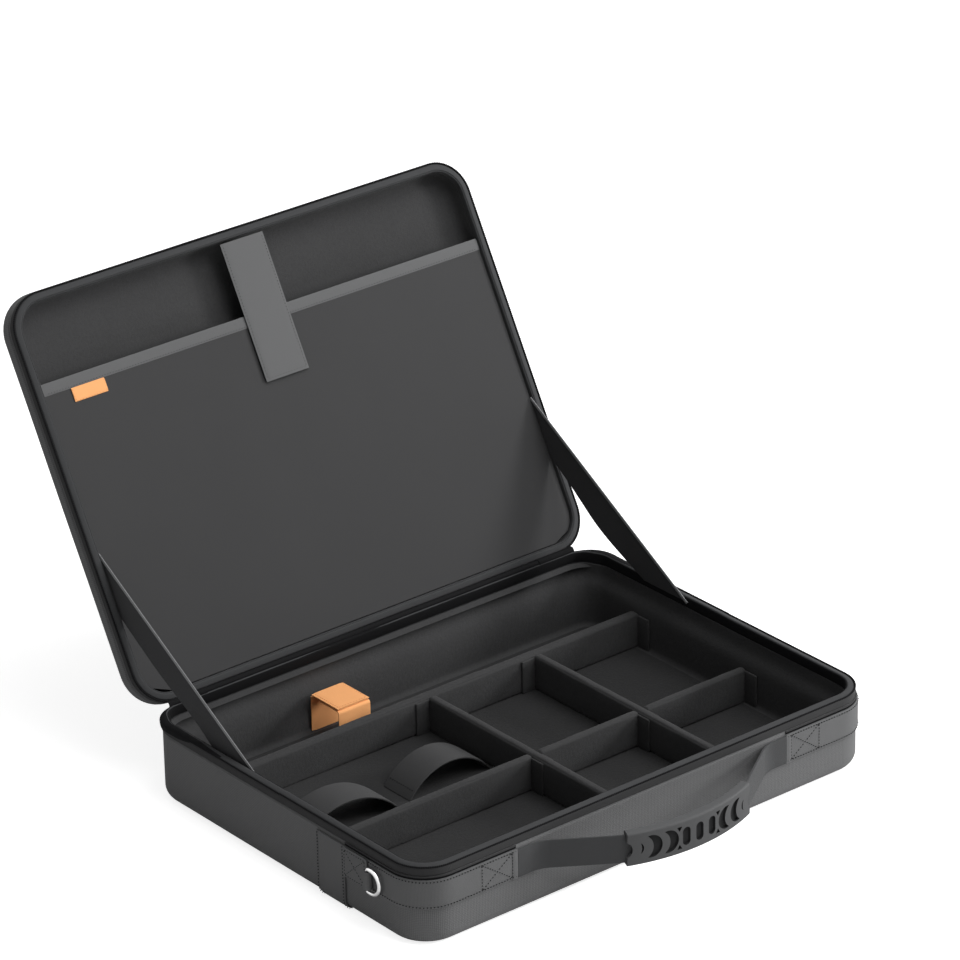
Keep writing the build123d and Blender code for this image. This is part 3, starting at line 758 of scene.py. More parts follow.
# -------------------------------------------------------------- case pieces
def sweep(found, profile, move):
    """Rows of a profile swept along stations; move says how far each point shifts inward."""
    return [[outline_point(s, inset + move(s, k, inset, level), level)
             for k, (inset, level) in enumerate(profile)] for s in found]


def tray(levels):
    """A shell from one profile: inner wall, top edge and outer wall, with both bottoms."""
    found, total = stations(side_step=10.0)
    slack = sizes().slack / MM
    rows = sweep(found, levels,
                 lambda s, _, *at: wander(outline_point(s, *at), 0.013, slack, 3.0))
    cloth = Cloth()
    cloth.grid(rows, around_lengths(found, total, profile_lengths(levels)), closed_u=True)
    for k in (0, -1):
        cloth.cover(rows, k)
    return cloth


def build_shells():
    """Both moulded shells: a wall of one thickness round each half."""
    lip = SHELL_TOP - 0.3
    levels = [(7.5, WALL), (WALL, 7.5), (WALL, lip), (2.6, lip), (1.5, lip)]
    levels += [(1.4, SHELL_TOP + 1.5), (0.6, SHELL_TOP + 2.0), (0.2, SHELL_TOP + 1.8),
               (0.05, SHELL_TOP + 1.2), (0.0, SHELL_TOP + 0.4)]
    levels += [(0.0, z) for z in (40.0, 30.0, 20.0)] + arc((EDGE, EDGE), EDGE, 180, 270, 8)
    tray(levels).piece("base_shell_cloth", "base", ["shell"], ["base_shell"], "shell_fabric")
    start = LID_SHELL_START + 0.3
    levels = [(7.5, LID_TOP - WALL), (WALL, LID_TOP - 7.5), (WALL, start), (2.6, start)]
    levels += [(0.7, start)] + arc((1.0, start + 1.3), 1.0, 260, 180, 4)
    levels += arc((EDGE, LID_TOP - EDGE), EDGE, 180, 90, 8)
    tray(levels).lid().piece("lid_shell_cloth", "lid", ["shell"], ["lid_shell"], "shell_fabric")


def lining(wall, back, move, floor_slot):
    """A lining: its seen face down to the floor, and its back against the shell."""
    found, total = stations(side_step=9.0)
    profile = wall + back
    rows = sweep(found, profile, move)
    lengths = around_lengths(found, total, profile_lengths(profile))
    cloth = Cloth()
    cut = len(wall)
    cloth.grid([row[:cut] for row in rows], lengths, closed_u=True)
    cloth.grid([row[cut:] + [row[0]] for row in rows], lengths, closed_u=True)
    for k in (cut - 1, cut):
        cloth.cover(rows, k, floor_slot)
    return cloth


def build_linings():
    """Base lining with its ledge, and the lid's lining."""
    top = SHELL_TOP + 2.2
    wall = [(7.0, top), (7.5, top), (7.6, 49.0), (7.7, 46.0), (8.1, 43.6), (8.9, 41.6)]
    wall += [(9.9, 39.9), (10.9, 38.2), (11.7, 36.2), (12.2, 33.8)]
    wall += [(12.5, z) for z in (30.0, 22.0, 12.0)] + arc((16.0, FLOOR + 3.5), 3.5, 180, 270, 5)
    back = [(16.0, 3.6), (6.6, 3.6), (3.6, 7.6), (3.6, SHELL_TOP - 1.0), (6.8, SHELL_TOP - 0.4)]

    def base_move(s, k, inset, level):
        """Uneven foam on the seen face, and the lean of the rear wall."""
        p, move = outline_point(s, inset, level), 0.0
        if 2 <= k < len(wall):
            move = min(wander(p, 0.03, 0.5, 5.0) + wander(p, 0.011, 0.5, 6.0), 0.25)
        if k < len(wall):
            lean = REAR_LEAN * smooth((s[3] - 0.55) / 0.45) * smooth((level - 20.0) / 28.0)
            move -= min(lean, inset - 3.5)
        return move

    # The base's floor faces take the darker floor pile, painted shade.
    lining(wall, back, base_move, 1).piece(
        "base_lining_pile", "base", ["lining", "lining_floor_painted_shade"], ["base_lining"], "lining_fabric")
    start, ceiling, behind = LID_LEVEL + 5.6, LID_TOP - 4.5, LID_TOP - 3.6
    lid_wall = [(7.0, start), (7.5, start), (7.6, start + 1.2)]
    lid_wall += arc((13.6, ceiling - 6.0), 6.0, 180, 90, 7)
    back = [(13.6, behind), (8.2, behind), (3.6, LID_TOP - 8.2), (3.6, LID_SHELL_START + 1.0)]
    lining(lid_wall, back, lambda *_: 0.0, 0).lid().piece(
        "lid_lining_pile", "lid", ["lining"], ["lid_lining"], "lining_fabric")


def build_rims():
    """Padded rims, inner bindings, piping, zip tapes and teeth of both halves."""
    for side, rim_level, depth, rise, tuck in (
        ("base", lambda w: RIM_TOP - w, 10.4, 1.5, 0.22),
        ("lid", lambda w: LID_LEVEL + w, 7.4, 0.0, 0.0),
    ):
        base = side == "base"

        def rim_piece(profile, name, key, nodes, slot, sharp=40.0, **more):
            """profile is (inset, way in from the rim's edge), or a cloth already made."""
            if isinstance(profile, list):
                profile = hoop([(i, rim_level(w)) for i, w in profile], slumped=base, **more)
            if not base:
                profile.lid()
            nodes = [f"{side}_{node}" for node in nodes]
            return profile.piece(f"{side}_{name}", side, [key], nodes, slot, sharp)

        foot = depth - 0.1
        pad = [(1.6, foot), (1.6, 2.2)] + arc((3.0, 2.1), 1.4, 180, 250)
        pad += [(3.4, 0.53), (4.4, 0.26)] + arc((5.6, 0.84), 0.8, 255, 360, 4) + [(6.4, foot)]
        rim_piece(pad, "rim_pad", "rim", ["rim"], "rim_fabric",
                            soft=0.16, seed=2.0, side_step=7.0)
        low = min(8.0, depth)
        strip = [(6.45, 0.75), (6.8, 0.55), (7.15, 0.8), (7.2, 1.4), (7.2, low - 0.5),
                 (6.9, low - 0.1), (6.45, low - 0.1)]
        rim_piece(strip, "inner_binding", "dark" if base else "light_binding", ["rim_binding"],
                  "binding_webbing")
        bead = [(0.8 + tuck - 0.6 * math.cos(math.radians(a)),
                 depth - 0.8 - rise - 0.65 * math.sin(math.radians(a)))
                for a in range(-50, 231, 35)]
        bead += [(1.5, foot - rise), (0.6, foot - rise)]
        rim_piece(bead, "piping_bead", "piping", ["piping"], "piping_cord")
        foot = depth - rise
        tape = [(1.5, 1.45), (0.7, 1.35), (0.38, 1.75), (0.36, 3.2), (0.33, foot / 2 + 0.8),
                (0.42, foot - 1.75), (0.8, foot - 1.45), (1.5, foot - 1.45)]
        rim_piece(tape, "zip_tape_cloth", "tape", ["zipper_tape"], "zipper_tape",
                  keep=off_rear, soft=0.1, seed=4.0, side_step=6.0)
        if base:
            # Black tape over the rim at the rear; its taper forward along each side is painted
            # shade.
            cover = [(0.38, 4.9), (0.18, 3.6), (0.0, 2.2), (0.2, 0.9), (1.0, 0.15), (3.4, -0.1),
                     (5.2, -0.2), (6.0, 0.15), (6.45, 0.8), (5.9, 1.3), (5.2, 0.6), (3.4, 0.8),
                     (1.7, 1.6), (0.9, 2.6), (0.8, 4.9)]
            rim_piece(cover, "rear_cover_and_painted_shade", "dark", [], "zipper_tape", keep=at_rear, soft=0.2,
                      seed=6.0, side_step=5.0, melt=((3.6, rim_level(1.9)), cover_share))
        rim_piece(zip_teeth(rim_level, base), "zip_teeth", "coil", ["zipper_coil"],
                  "zipper_coil", sharp=60.0)


def zip_teeth(rim_level, slumped):
    """The zip's half coil: a flattened bead that swells at each turn."""
    inset_of_coil, way_in = 0.85, 1.05
    run = keep_runs(stations(30, 6.0)[0], off_rear)[0]
    cores = [(Vector((s[0], s[1], 0)), Vector((s[2], s[3], 0))) for s in run]
    marks = profile_lengths([outline_point(s, inset_of_coil, 0) for s in run])
    count = int(marks[-1] / (sizes().tooth_pitch / MM)) * 4
    cloth, rows, along, leg = Cloth(), [], [], 0
    for k in range(count + 1):
        distance = min(marks[-1] * k / count, marks[-1] - 1e-6)
        while distance > marks[leg + 1] and leg < len(marks) - 2:
            leg += 1
        share = (distance - marks[leg]) / (marks[leg + 1] - marks[leg])
        core = cores[leg][0].lerp(cores[leg + 1][0], share)
        way = cores[leg][1].lerp(cores[leg + 1][1], share).normalized()
        swell = (0.52, 0.86, 1.0, 0.86)[k % 4]
        row = []
        for turn in range(0, 360, 60):
            inset = inset_of_coil - 0.78 * swell * math.cos(math.radians(turn))
            level = rim_level(way_in + 0.72 * swell * math.sin(math.radians(turn)))
            station = (core.x, core.y, way.x, way.y, 0)
            if slumped:
                inset += slump(station, inset, level)
            row.append(outline_point(station, inset, level))
        rows.append(row)
        along.append(distance)
    cloth.caps(cloth.grid(rows, lambda i, j: (along[i], j * 0.7), closed_v=True))
    return cloth


WEB_END = 183.5  # how far the webs at the zip's two ends reach


def fold_path(radius, levels, distances):
    """A line that rises behind the base, folds round the hinge and runs out along the lid."""
    path = [(HINGE_Y - radius, z) for z in levels]
    for angle in spread(0.0, OPEN_ANGLE, 9):
        path.append((HINGE_Y - radius * math.cos(angle), HINGE_Z + radius * math.sin(angle)))
    path += [(LID_TURN @ Vector((0, HINGE_Y - radius, LID_LEVEL + d))).yz for d in distances]
    return [Vector((0, y, z)) for y, z in path]


def folded_web(cloth, path, low, high, columns, half, lengths, ends, flanks):
    """Two layers of cloth along a folded path, from low to high across the case."""
    sheets = []
    for out in (half, -half):
        rows = [[p + Vector((0, way.z, -way.y)) * out + Vector((x, 0, 0))
                 for x in spread(low, high, columns)] for p, way in zip(path, line_ways(path))]
        cloth.grid(rows, lengths, flip=out < 0)
        sheets.append(rows)
    cloth.edges(*sheets, ends, flanks)


def build_hinge_strip():
    """Fabric that joins both rims at the rear, shaped folded round the hinge for the open lid."""
    (low, _, _), (high, _, _) = node_box("hinge_strip")
    width, columns = high - low, 44
    cloth = Cloth()
    strip_radius, web_radius = 1.6, 2.3
    path = fold_path(strip_radius, (SHELL_TOP + 1.6, 54.0, 57.0), (3.0, 5.2))
    along = profile_lengths(path)
    folded_web(cloth, path, low, high, columns, 0.5, lambda i, j: (width * j / columns, along[i]),
               lambda i, j: (width * j / columns, i), lambda i, k: (i, along[k]))
    web = fold_path(web_radius, (56.0, 58.5), (2.5, 4.6))
    web_along = profile_lengths(web)
    for x0, x1 in ((-WEB_END, low + 1.0), (high - 1.0, WEB_END)):
        folded_web(cloth, web, x0, x1, 8, 0.35, lambda i, j: (j * 3.0, web_along[i]),
                   lambda i, j: (j, i * 0.7), lambda i, j: (j, i * 0.7))
    thing = cloth.piece("hinge_strip_cloth", None, ["dark"], ["hinge_strip"], "zipper_tape")
    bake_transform(thing)


def build_dividers():
    """The long divider, two cross dividers and three short ones, with their end flanges."""
    flange, lap = 1.6, 1.0
    for name, thick, axis in (
        ("long_divider", 8.0, 1), ("cross_divider_left", 7.0, 0),
        ("cross_divider_right", 7.0, 0), ("lateral_divider_left", 6.0, 1),
        ("lateral_divider_middle", 6.0, 1), ("lateral_divider_right", 6.0, 1),
    ):
        low, high = node_box(name)
        wall_low = list(low)
        wall_low[axis] = high[axis] - thick
        seed = sum(ord(c) for c in name) % 17 + 0.5
        cloth = rounded_block(wall_low, high, 2.2, 4, crown=0.5, cut=7.0, soft=0.5, seed=seed)
        for end in (0, 1):
            plate = [list(low), [*high[:2], high[2] - 1.5]]
            plate[1][axis] = high[axis] - thick + lap
            if end:
                plate[0][1 - axis] = high[1 - axis] - flange
            else:
                plate[1][1 - axis] = low[1 - axis] + flange
            cloth.join(rounded_block(*plate, 0.7, 2))
        cloth.piece(name + "_pad", "base", ["divider"], [name], "divider_fabric",
                              sharp=50.0)


def build_loops():
    """Two elastic straps that stand in arches, with their sewn feet."""
    thick = 1.6
    for name in ("charger_loop", "cable_loop"):
        low, high = node_box(name)
        half, rise, width = (high[0] - low[0]) / 2, high[2] - low[2], high[1] - low[1]
        radius = (half * half + rise * rise) / (2 * rise)
        limit = math.asin(half / radius) * 0.985
        centre = Vector((*((a + b) / 2 for a, b in zip(low[:2], high)), low[2] + rise - radius))
        normals = [Vector((math.sin(a), 0, math.cos(a))) for a in spread(-limit, limit, 36)]
        points = [centre + n * (radius - thick / 2) for n in normals]
        ribbon(points, normals, ALONG_Y, width, thick - 0.1, crown=0.12, columns=10).piece(
            name + "_elastic", "base", ["elastic"], [name], "elastic_webbing")
        for side, at in zip(SIDES, (3, -4)):
            face, reach = points[at] + normals[at] * 0.85, ALONG_Y * (width / 2 - 1.5)
            stitches([[face - reach, face + reach]], normals[at]).piece(
                f"{name}_bar_stitch_{side}", "base", ["thread"], (), "elastic_webbing")


def build_tie_strap():
    """The orange hook and loop strap: anchor, flap and keeper."""
    out, up = -ALONG_Y, ALONG_Z

    def web(points, normals, crown, name, body, node):
        ribbon(points, normals, ALONG_X, width, 1.2, crown=crown).piece(
            name, body, ["accent"], [node], "accent_strap")

    low, high = node_box("tie_strap_anchor")
    x, y = (low[0] + high[0]) / 2, (low[1] + high[1]) / 2
    width = high[0] - low[0]
    points = [(x, y, z) for z in (low[2] + 0.1, 12, 20, 28, high[2] - 0.3)]
    web(points, [out] * 5, 0.08, "tie_anchor_web", "base", "tie_strap_anchor")
    low, high = node_box("tie_strap_keeper")
    front, top, bend = low[1] + 0.7, high[2] - 0.7, 2.0
    points = [(x, front, z) for z in (low[2] + 0.1, 12, 20, 28)]
    points += [(x, *p) for p in arc((front + bend, top - bend), bend, 180, 90, 6)]
    points += [(x, y, top) for y in (110.0, 116.0, 122.0, high[1] - 0.3)]
    normals = [out] * 4 + [(0, *p) for p in arc((0, 0), 1.0, 180, 90, 6)] + [up] * 4
    web(points, normals, 0.05, "tie_keeper_web", "base", "tie_strap_keeper")
    low, high = node_box("tie_strap_flap")
    level = (low[2] + high[2]) / 2
    points = [(x, y, level + 0.05) for y in spread(high[1] - 0.1, low[1] + 0.1, 10)]
    web(points, [up] * 11, 0.08, "tie_flap_web", "tie_flap", "tie_strap_flap")
    z, left, right = level + 0.75, x - width / 2 + 1.6, x + width / 2 - 1.6
    root, tip = high[1] - 1.5, low[1] + 1.5
    stitches([[(left, root, z), (left, tip, z)], [(right, root, z), (right, tip, z)],
              [(left, tip, z), (right, tip, z)]], up, radius=0.14).piece(
        "tie_flap_stitches", "tie_flap", ["accent_edge"], (), "accent_strap")


def band_points(start_y, end_x, step=6.0):
    """Stations of the front band: from the left side, round the corner, to the handle."""
    side = max(2, round((start_y + CORE_Y) / step))
    front = max(2, round((CORE_X - end_x) / step))
    found = [(-CORE_X, y, -1.0, 0.0, 0) for y in spread(start_y, -CORE_Y, side)[:-1]]
    found += [(-CORE_X, -CORE_Y, *around(1.0, turn), 0) for turn in spread(180, 270, 16)]
    return found + [(x, -CORE_Y, 0.0, -1.0, 0) for x in spread(-CORE_X, -end_x, front)[1:]]


def build_bands():
    """Webbing round the front corners and down the sides, with stitched edges."""
    path = band_points(-72.0, 120.5)
    normals = [(s[2], s[3], 0) for s in path]
    height = BAND_HIGH - BAND_LOW

    def band(out, level, width, thickness, **more):
        line = [outline_point(s, -out, level) for s in path]
        return ribbon(line, normals, ALONG_Z, width, thickness, **more)

    def away(point):
        """The way out of the band, at its corner and beside it."""
        return Vector((min(point.x + CORE_X, 0.0), min(point.y + CORE_Y, 0.0), 0))

    middle = (BAND_LOW + BAND_HIGH) / 2
    front = band(0.72, middle, height - 0.6, 1.3, crown=0.05)
    end = outline_point(path[-1], -1.05, middle)
    fold = [end + Vector((x, y, 0)) for x, y in
            ((-4.2, 0), (-2.8, -0.35), (-1.2, -0.42), (0.45, -0.3))]
    front.join(ribbon(fold, [-ALONG_Y] * 4, ALONG_Z, height - 0.7, 1.1))
    face_out, z0, z1 = 1.42, BAND_LOW + 2.1, BAND_HIGH - 1.6
    rows = stitches([[outline_point(s, -face_out, z) for s in path[1:]] for z in (z0, z1)], away)
    # box with a cross at the handle's end
    y, x0, x1 = -(HALF_DEPTH + face_out), -150.5, -124.5
    box = (x0, z0, x0, z1), (x1, z0, x1, z1), (x0, z0, x1, z1), (x0, z1, x1, z0)
    rows.join(stitches([[(a, y, b), (c, y, d)] for a, b, c, d in box], -ALONG_Y))
    seam, under_zip = BAND_HIGH + 0.45, RIM_TOP - 7.3
    # A dark strip along the band's top edge: painted shadow of the gap behind it.
    gap = band(0.12, seam, 1.2, 0.5, edge=0.15, columns=3)
    cord = band(0.0, (seam + 0.6 + under_zip) / 2, under_zip - seam - 0.6, 0.6,
                crown=0.25, edge=0.2, columns=6)
    both_sides((gap, "front_band_painted_shadow", "dark", None, "webbing"),
               (cord, "front_band_cord", "tape", None, "piping_cord"),
               (front, "front_band_web", "band", "front_band", "webbing"),
               (rows, "front_band_stitches", "thread", None, "webbing"))
    # side band, tucked round the bottom edge
    low, high = node_box("side_band_left")
    thick, middle, width = 1.5, (low[1] + high[1]) / 2, high[1] - low[1] - 0.4
    turned = Vector((-HALF_WIDTH + EDGE, middle, EDGE))
    points = [Vector((-(HALF_WIDTH + thick / 2), middle, z))
              for z in (BAND_HIGH - 0.5, 44.0, 38.0, 30.0, 22.0, 15.0)]
    normals = [-ALONG_X] * len(points)
    for x, z in arc((0, 0), 1.0, 180, 244, 6):
        normals.append(Vector((x, 0, z)))
        points.append(turned + normals[-1] * (EDGE + thick / 2))
    web = ribbon(points, normals, ALONG_Y, width, thick - 0.1, crown=0.05, edge=0.4, columns=10)
    lines = [[p + n * (thick / 2 + 0.02) + ALONG_Y * offset for p, n in zip(points, normals)]
             for offset in (1.3 - width / 2, width / 2 - 1.3)]
    seams = stitches(lines, lambda p: -ALONG_X if p.z > EDGE
                     else Vector((p.x - turned.x, 0, p.z - turned.z)))
    both_sides((web, "side_band_web", "band", "side_band", "webbing"),
               (seams, "side_band_stitches", "thread", None, "webbing"))


def ring_outline(height, leg, corner):
    """A D as (way forward of the bar, height), from the bar's foot round and back."""
    top = height - corner
    return (
        [(0.0, z) for z in spread(-top, top, 8)]
        + arc((corner, top), corner, 180, 90, 6)[1:-1]
        + arc((leg, 0.0), height, 90, -90, 32)
        + arc((corner, -top), corner, 270, 180, 6)[1:-1]
    )


def build_rings():
    """Ring tabs, sewn to the band and wrapped round each D-ring, and the rings."""
    low, high = node_box("ring_tab_left")
    ring_low, ring_high = node_box("d_ring_left")
    ring_x, ring_z = ((ring_low[a] + ring_high[a]) / 2 for a in (0, 2))
    wire = 1.5
    bar_y = ring_high[1] - wire
    half, middle = (high[2] - low[2]) / 2 - 0.2, (high[2] + low[2]) / 2
    flat_x = -(HALF_WIDTH + 1.6) - 0.8  # the sewn part's middle layer
    half_loop, wrap = 6.7, 2.45  # half the width round the bar, and that loop's radius
    y0, y1 = high[1] - 0.2, bar_y + 3.6
    # the tab's line, as (x, y, way out, half its width, middle level)
    path = [(flat_x, y, (-1, 0), half, middle) for y in spread(y0, y1, 8)]
    for share in (0.25, 0.5, 0.75, 1.0):
        path.append((flat_x - 0.5 * share, y1 - 2.2 * share, (-1, 0),
                     half + (half_loop - half) * min(1, share * 1.6),
                     middle + (ring_z - middle) * share))
    for turn in spread(150, 410, 12):
        path.append((*around(wrap, turn, (ring_x, bar_y)), around(1.0, turn), half_loop, ring_z))
    rows = [[Vector((x + n[0] * out, y + n[1] * out, level + across))
             for across, out in strap_section(2 * half_width, 1.1, edge=0.3)]
            for x, y, n, half_width, level in path]
    along = profile_lengths([p[:2] for p in path])
    tab = Cloth()
    tab.caps(tab.grid(
        rows, lambda i, j: (along[i], (j if j <= 8 else 17 - j) * 2.6), closed_v=True))
    x, z0, z1 = flat_x - 0.6, middle - half + 1.5, middle + half - 1.5
    ya, yb = y0 - 1.8, y1 + 1.6
    box = ((ya, z0, ya, z1), (yb, z0, yb, z1), (ya, z0, yb, z0), (ya, z1, yb, z1),
           (ya, z0, yb, z1), (ya, z1, yb, z0))
    seams = stitches([[(x, a, b), (x, c, d)] for a, b, c, d in box], -ALONG_X, radius=0.22)
    # the ring
    loop = ring_outline(height=8.6, leg=4.0, corner=1.7)
    rows = []
    for k, (forward, z) in enumerate(loop):
        way = (Vector(loop[(k + 1) % len(loop)]) - Vector(loop[k - 1])).normalized()
        rows.append([
            Vector((ring_x + side, bar_y - forward + way.y * out, ring_z + z + way.x * out))
            for out, side in (around(wire, 360 * q / 14) for q in range(14))])
    ring = Cloth()
    ring.grid(rows, lambda i, j: (i, j * 0.6), closed_u=True, closed_v=True)
    for side in SIDES:
        tab.on(side).piece(f"ring_tab_web_{side}", "base", ["band"], [f"ring_tab_{side}"],
                           "webbing")
        seams.on(side).piece(f"ring_tab_stitches_{side}", "base", ["thread"], (), "webbing")
        ring.on(side).piece(f"ring_wire_{side}", f"ring_{side}", ["nickel"], [f"d_ring_{side}"],
                            "ring_steel", sharp=80.0)


STRAP_FACE_Y = -(HALF_DEPTH + 1.1)  # middle of the strap where it is sewn down
GRIP_HALF = 53.0
GRIP_END_ANGLE = math.radians(22.5)
GRIP_RADIUS = GRIP_HALF / math.sin(GRIP_END_ANGLE)
SLOPE = math.radians(34.0)  # heading of the strap's straight runs
FOOT_BEND, WRIST_BEND = 28.0, 25.0  # radii of its bends at the feet and beside the grip


def strap_line():
    """The handle strap's middle line, as (x, y, heading), from left foot to right."""
    bend_x = -110.0
    half = [(-119.9, STRAP_FACE_Y, 0.0), (bend_x, STRAP_FACE_Y, 0.0)]
    for a in spread(0.0, SLOPE, 10)[1:]:
        half.append((bend_x + FOOT_BEND * math.sin(a),
                     STRAP_FACE_Y - FOOT_BEND * (1 - math.cos(a)), -a))
    x, y, _ = half[-1]
    run = -GRIP_HALF - WRIST_BEND * (math.sin(SLOPE) - math.sin(GRIP_END_ANGLE)) - x
    half += [(x + d, y - math.tan(SLOPE) * d, -SLOPE) for d in spread(0.0, run, 8)[1:]]
    x, y, _ = half[-1]
    for a in spread(SLOPE, GRIP_END_ANGLE, 5)[1:]:
        half.append((x + WRIST_BEND * (math.sin(SLOPE) - math.sin(a)),
                     y - WRIST_BEND * (math.cos(a) - math.cos(SLOPE)), -a))
    centre_y = half[-1][1] + GRIP_RADIUS * math.cos(GRIP_END_ANGLE)
    for a in spread(GRIP_END_ANGLE, 0.0, 12)[1:]:
        half.append((-GRIP_RADIUS * math.sin(a), centre_y - GRIP_RADIUS * math.cos(a), -a))
    return half + [(-x, y, -h) for x, y, h in reversed(half[:-1])]


def build_handle():
    """The webbing strap, shaped along the grip's curve, and the moulded grip."""
    line = strap_line()
    low, high = node_box("handle_strap")
    middle = (low[2] + high[2]) / 2
    points = [(x, y, middle) for x, y, _ in line]
    normals = [(math.sin(h), -math.cos(h), 0) for _, _, h in line]
    thing = ribbon(points, normals, ALONG_Z, high[2] - low[2] - 0.2, 1.9, edge=0.3).piece(
        "handle_strap_web", None, ["handle"], ["handle_strap"], "webbing")
    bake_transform(thing)
    build_grip_sleeve(min(y for _, y, _ in line) + GRIP_RADIUS)


def build_grip_sleeve(centre_y):
    """The moulded sleeve over the strap; its recesses get a darker colour, painted shade, and a
    rougher, duller finish.
    """
    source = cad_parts["handle_grip"]
    outer, limit = GRIP_RADIUS + 4.0, 3.2  # faces down to this far below the outer one are cuts
    low, high = node_box("handle_grip")
    middle = (low[2] + high[2]) / 2
    cloth = Cloth()
    points = [source.matrix_world @ v.co / MM for v in source.data.vertices]
    for face in source.data.polygons:
        corners = [points[i] for i in face.vertices]
        spot = sum(corners, Vector()) / len(corners)
        below = outer - math.hypot(spot.x, spot.y - centre_y)
        inside = abs(spot.z - middle) < 9.6 and abs(spot.x) < GRIP_HALF - 1.5
        cloth.face([cloth.add(p) for p in corners], [(p.x, p.z) for p in corners],
                   int(inside and 0.05 < below < limit))
    cloth.piece("grip_sleeve", "handle", ["rubber", "rubber_recess_painted_shade"], ["handle_grip"],
                "grip_rubber", sharp=32.0)


def build_slides():
    """Zip sliders and their pulls keep their solid shapes and get enamel."""
    for side in SIDES:
        for node in (f"zipper_slider_{side}", f"zipper_pull_{side}"):
            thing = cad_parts[node]
            thing.data.materials.clear()
            thing.data.materials.append(finish("enamel"))


POCKET_HALF = HALF_WIDTH - 7.9
POCKET_FOOT, POCKET_TOP = 8.6, 236.5  # along the lid, from the hinge
POCKET_DEPTH = 3.5


def pocket_panel():
    """The flat pocket's cloth, rounded at its foot, with a slight sag and pucker."""
    corner, columns, count = CORNER - 7.6, 56, 40
    width, height = 2 * POCKET_HALF, POCKET_TOP - POCKET_FOOT
    cloth, sheets = Cloth(), []
    for layer in (0.0, 1.0):
        rows = []
        for v in spread(POCKET_FOOT, POCKET_TOP, count):
            lack = max(corner - (v - POCKET_FOOT), 0.0)
            half = POCKET_HALF
            if lack:
                half += math.sqrt(max(corner * corner - lack * lack, 0.0)) - corner
            row = []
            for j in range(columns + 1):
                x = -half + 2 * half * j / columns
                bow = math.sin(math.pi * j / columns)
                sag = bow * math.sin(math.pi * min((v - POCKET_FOOT) / height, 1)) * 0.25
                pucker = wander((x, v, 0), 0.018, 0.5, 9.0) * bow
                row.append(lid_point(x, v, POCKET_DEPTH + layer + sag + pucker))
            rows.append(row)
        cloth.grid(rows, lambda i, j: (width * j / columns, height * i / count), flip=layer > 0)
        sheets.append(rows)
    cloth.edges(*sheets, lambda i, j: (width * j / columns, i), lambda i, k: (i, k * 5.0))
    return cloth.piece("pocket_cloth_panel", "lid", ["pocket"], ["pocket_panel"], "pocket_fabric")


def build_pocket():
    """The lid pocket, its binding, the bare tag, the closing strap and hook patch."""
    pocket = pocket_panel()
    up, down_lid = LID_WAY @ -ALONG_Z, LID_WAY @ -ALONG_Y

    def web(line, across_way, width, thickness, crown, name, body, key, node, slot, columns=8):
        ribbon([lid_point(*p) for p in line], [up] * len(line), across_way, width, thickness,
               crown=crown, columns=columns).piece(name, body, [key], [node], slot)

    def seam(depth, lines, radius, name, body, key, slot):
        """Stitches on the lid; lines are (x, distance) at both ends."""
        stitches([[lid_point(*a, depth), lid_point(*b, depth)] for a, b in lines], up,
                 radius=radius).piece(name, body, [key], (), slot)

    half = POCKET_HALF - 0.2
    v0, v1 = POCKET_TOP - 7.5, POCKET_TOP + 1.2
    web([(x, (v0 + v1) / 2, POCKET_DEPTH + 0.45) for x in spread(-half, half, 60)], down_lid,
        v1 - v0, 1.9, 0.12, "pocket_mouth_binding", "lid", "strap", "pocket_binding",
        "binding_webbing")
    end, v = POCKET_HALF - 3, POCKET_TOP - 6.2
    seam(POCKET_DEPTH - 0.62, [((-end, v), (end, v))], 0.13, "pocket_mouth_stitches", "lid",
         "thread", "binding_webbing")
    web([(x, v0 - 5.0, POCKET_DEPTH - 0.4) for x in spread(-172.0, -144.0, 14)], down_lid,
        10.0, 0.7, 0.05, "bare_tag", "lid", "accent", "label_tag", "woven_label")
    x0, x1, v0, v1 = -171.2, -144.8, POCKET_TOP - 17.0, POCKET_TOP - 8.0
    seam(POCKET_DEPTH - 0.85, [((x0, v0), (x0, v1)), ((x1, v0), (x1, v1)), ((x0, v0), (x1, v0))],
         0.1, "tag_stitches", "lid", "accent_edge", "woven_label")
    # closing strap, from its sewn root down over the pocket's mouth
    root, end, x, depth = 291.2, 188.5, 0.5, 1.95
    web([(x, v, depth + wander((v, 0, 0), 0.03, 0.12, 3.0)) for v in spread(root, end, 30)],
        ALONG_X, 37.6, 1.1, 0.08, "closing_strap_web", "closure", "strap", "closure_strap",
        "closure_webbing", columns=12)
    x0, x1, v0, v1 = x - 17.0, x + 17.0, end + 2, root - 2
    seam(depth - 0.62, [((x0, v1), (x0, v0)), ((x1, v1), (x1, v0)), ((x0, v0), (x1, v0))],
         0.13, "closing_strap_stitches", "closure", "thread", "closure_webbing")
    web([(x, v, POCKET_DEPTH - 0.3) for v in spread(end + 0.6, end + 33.8, 12)], ALONG_X,
        31.8, 0.5, 0.0, "hook_pile_patch", "lid", "loop", "hook_patch", "loop_fabric")


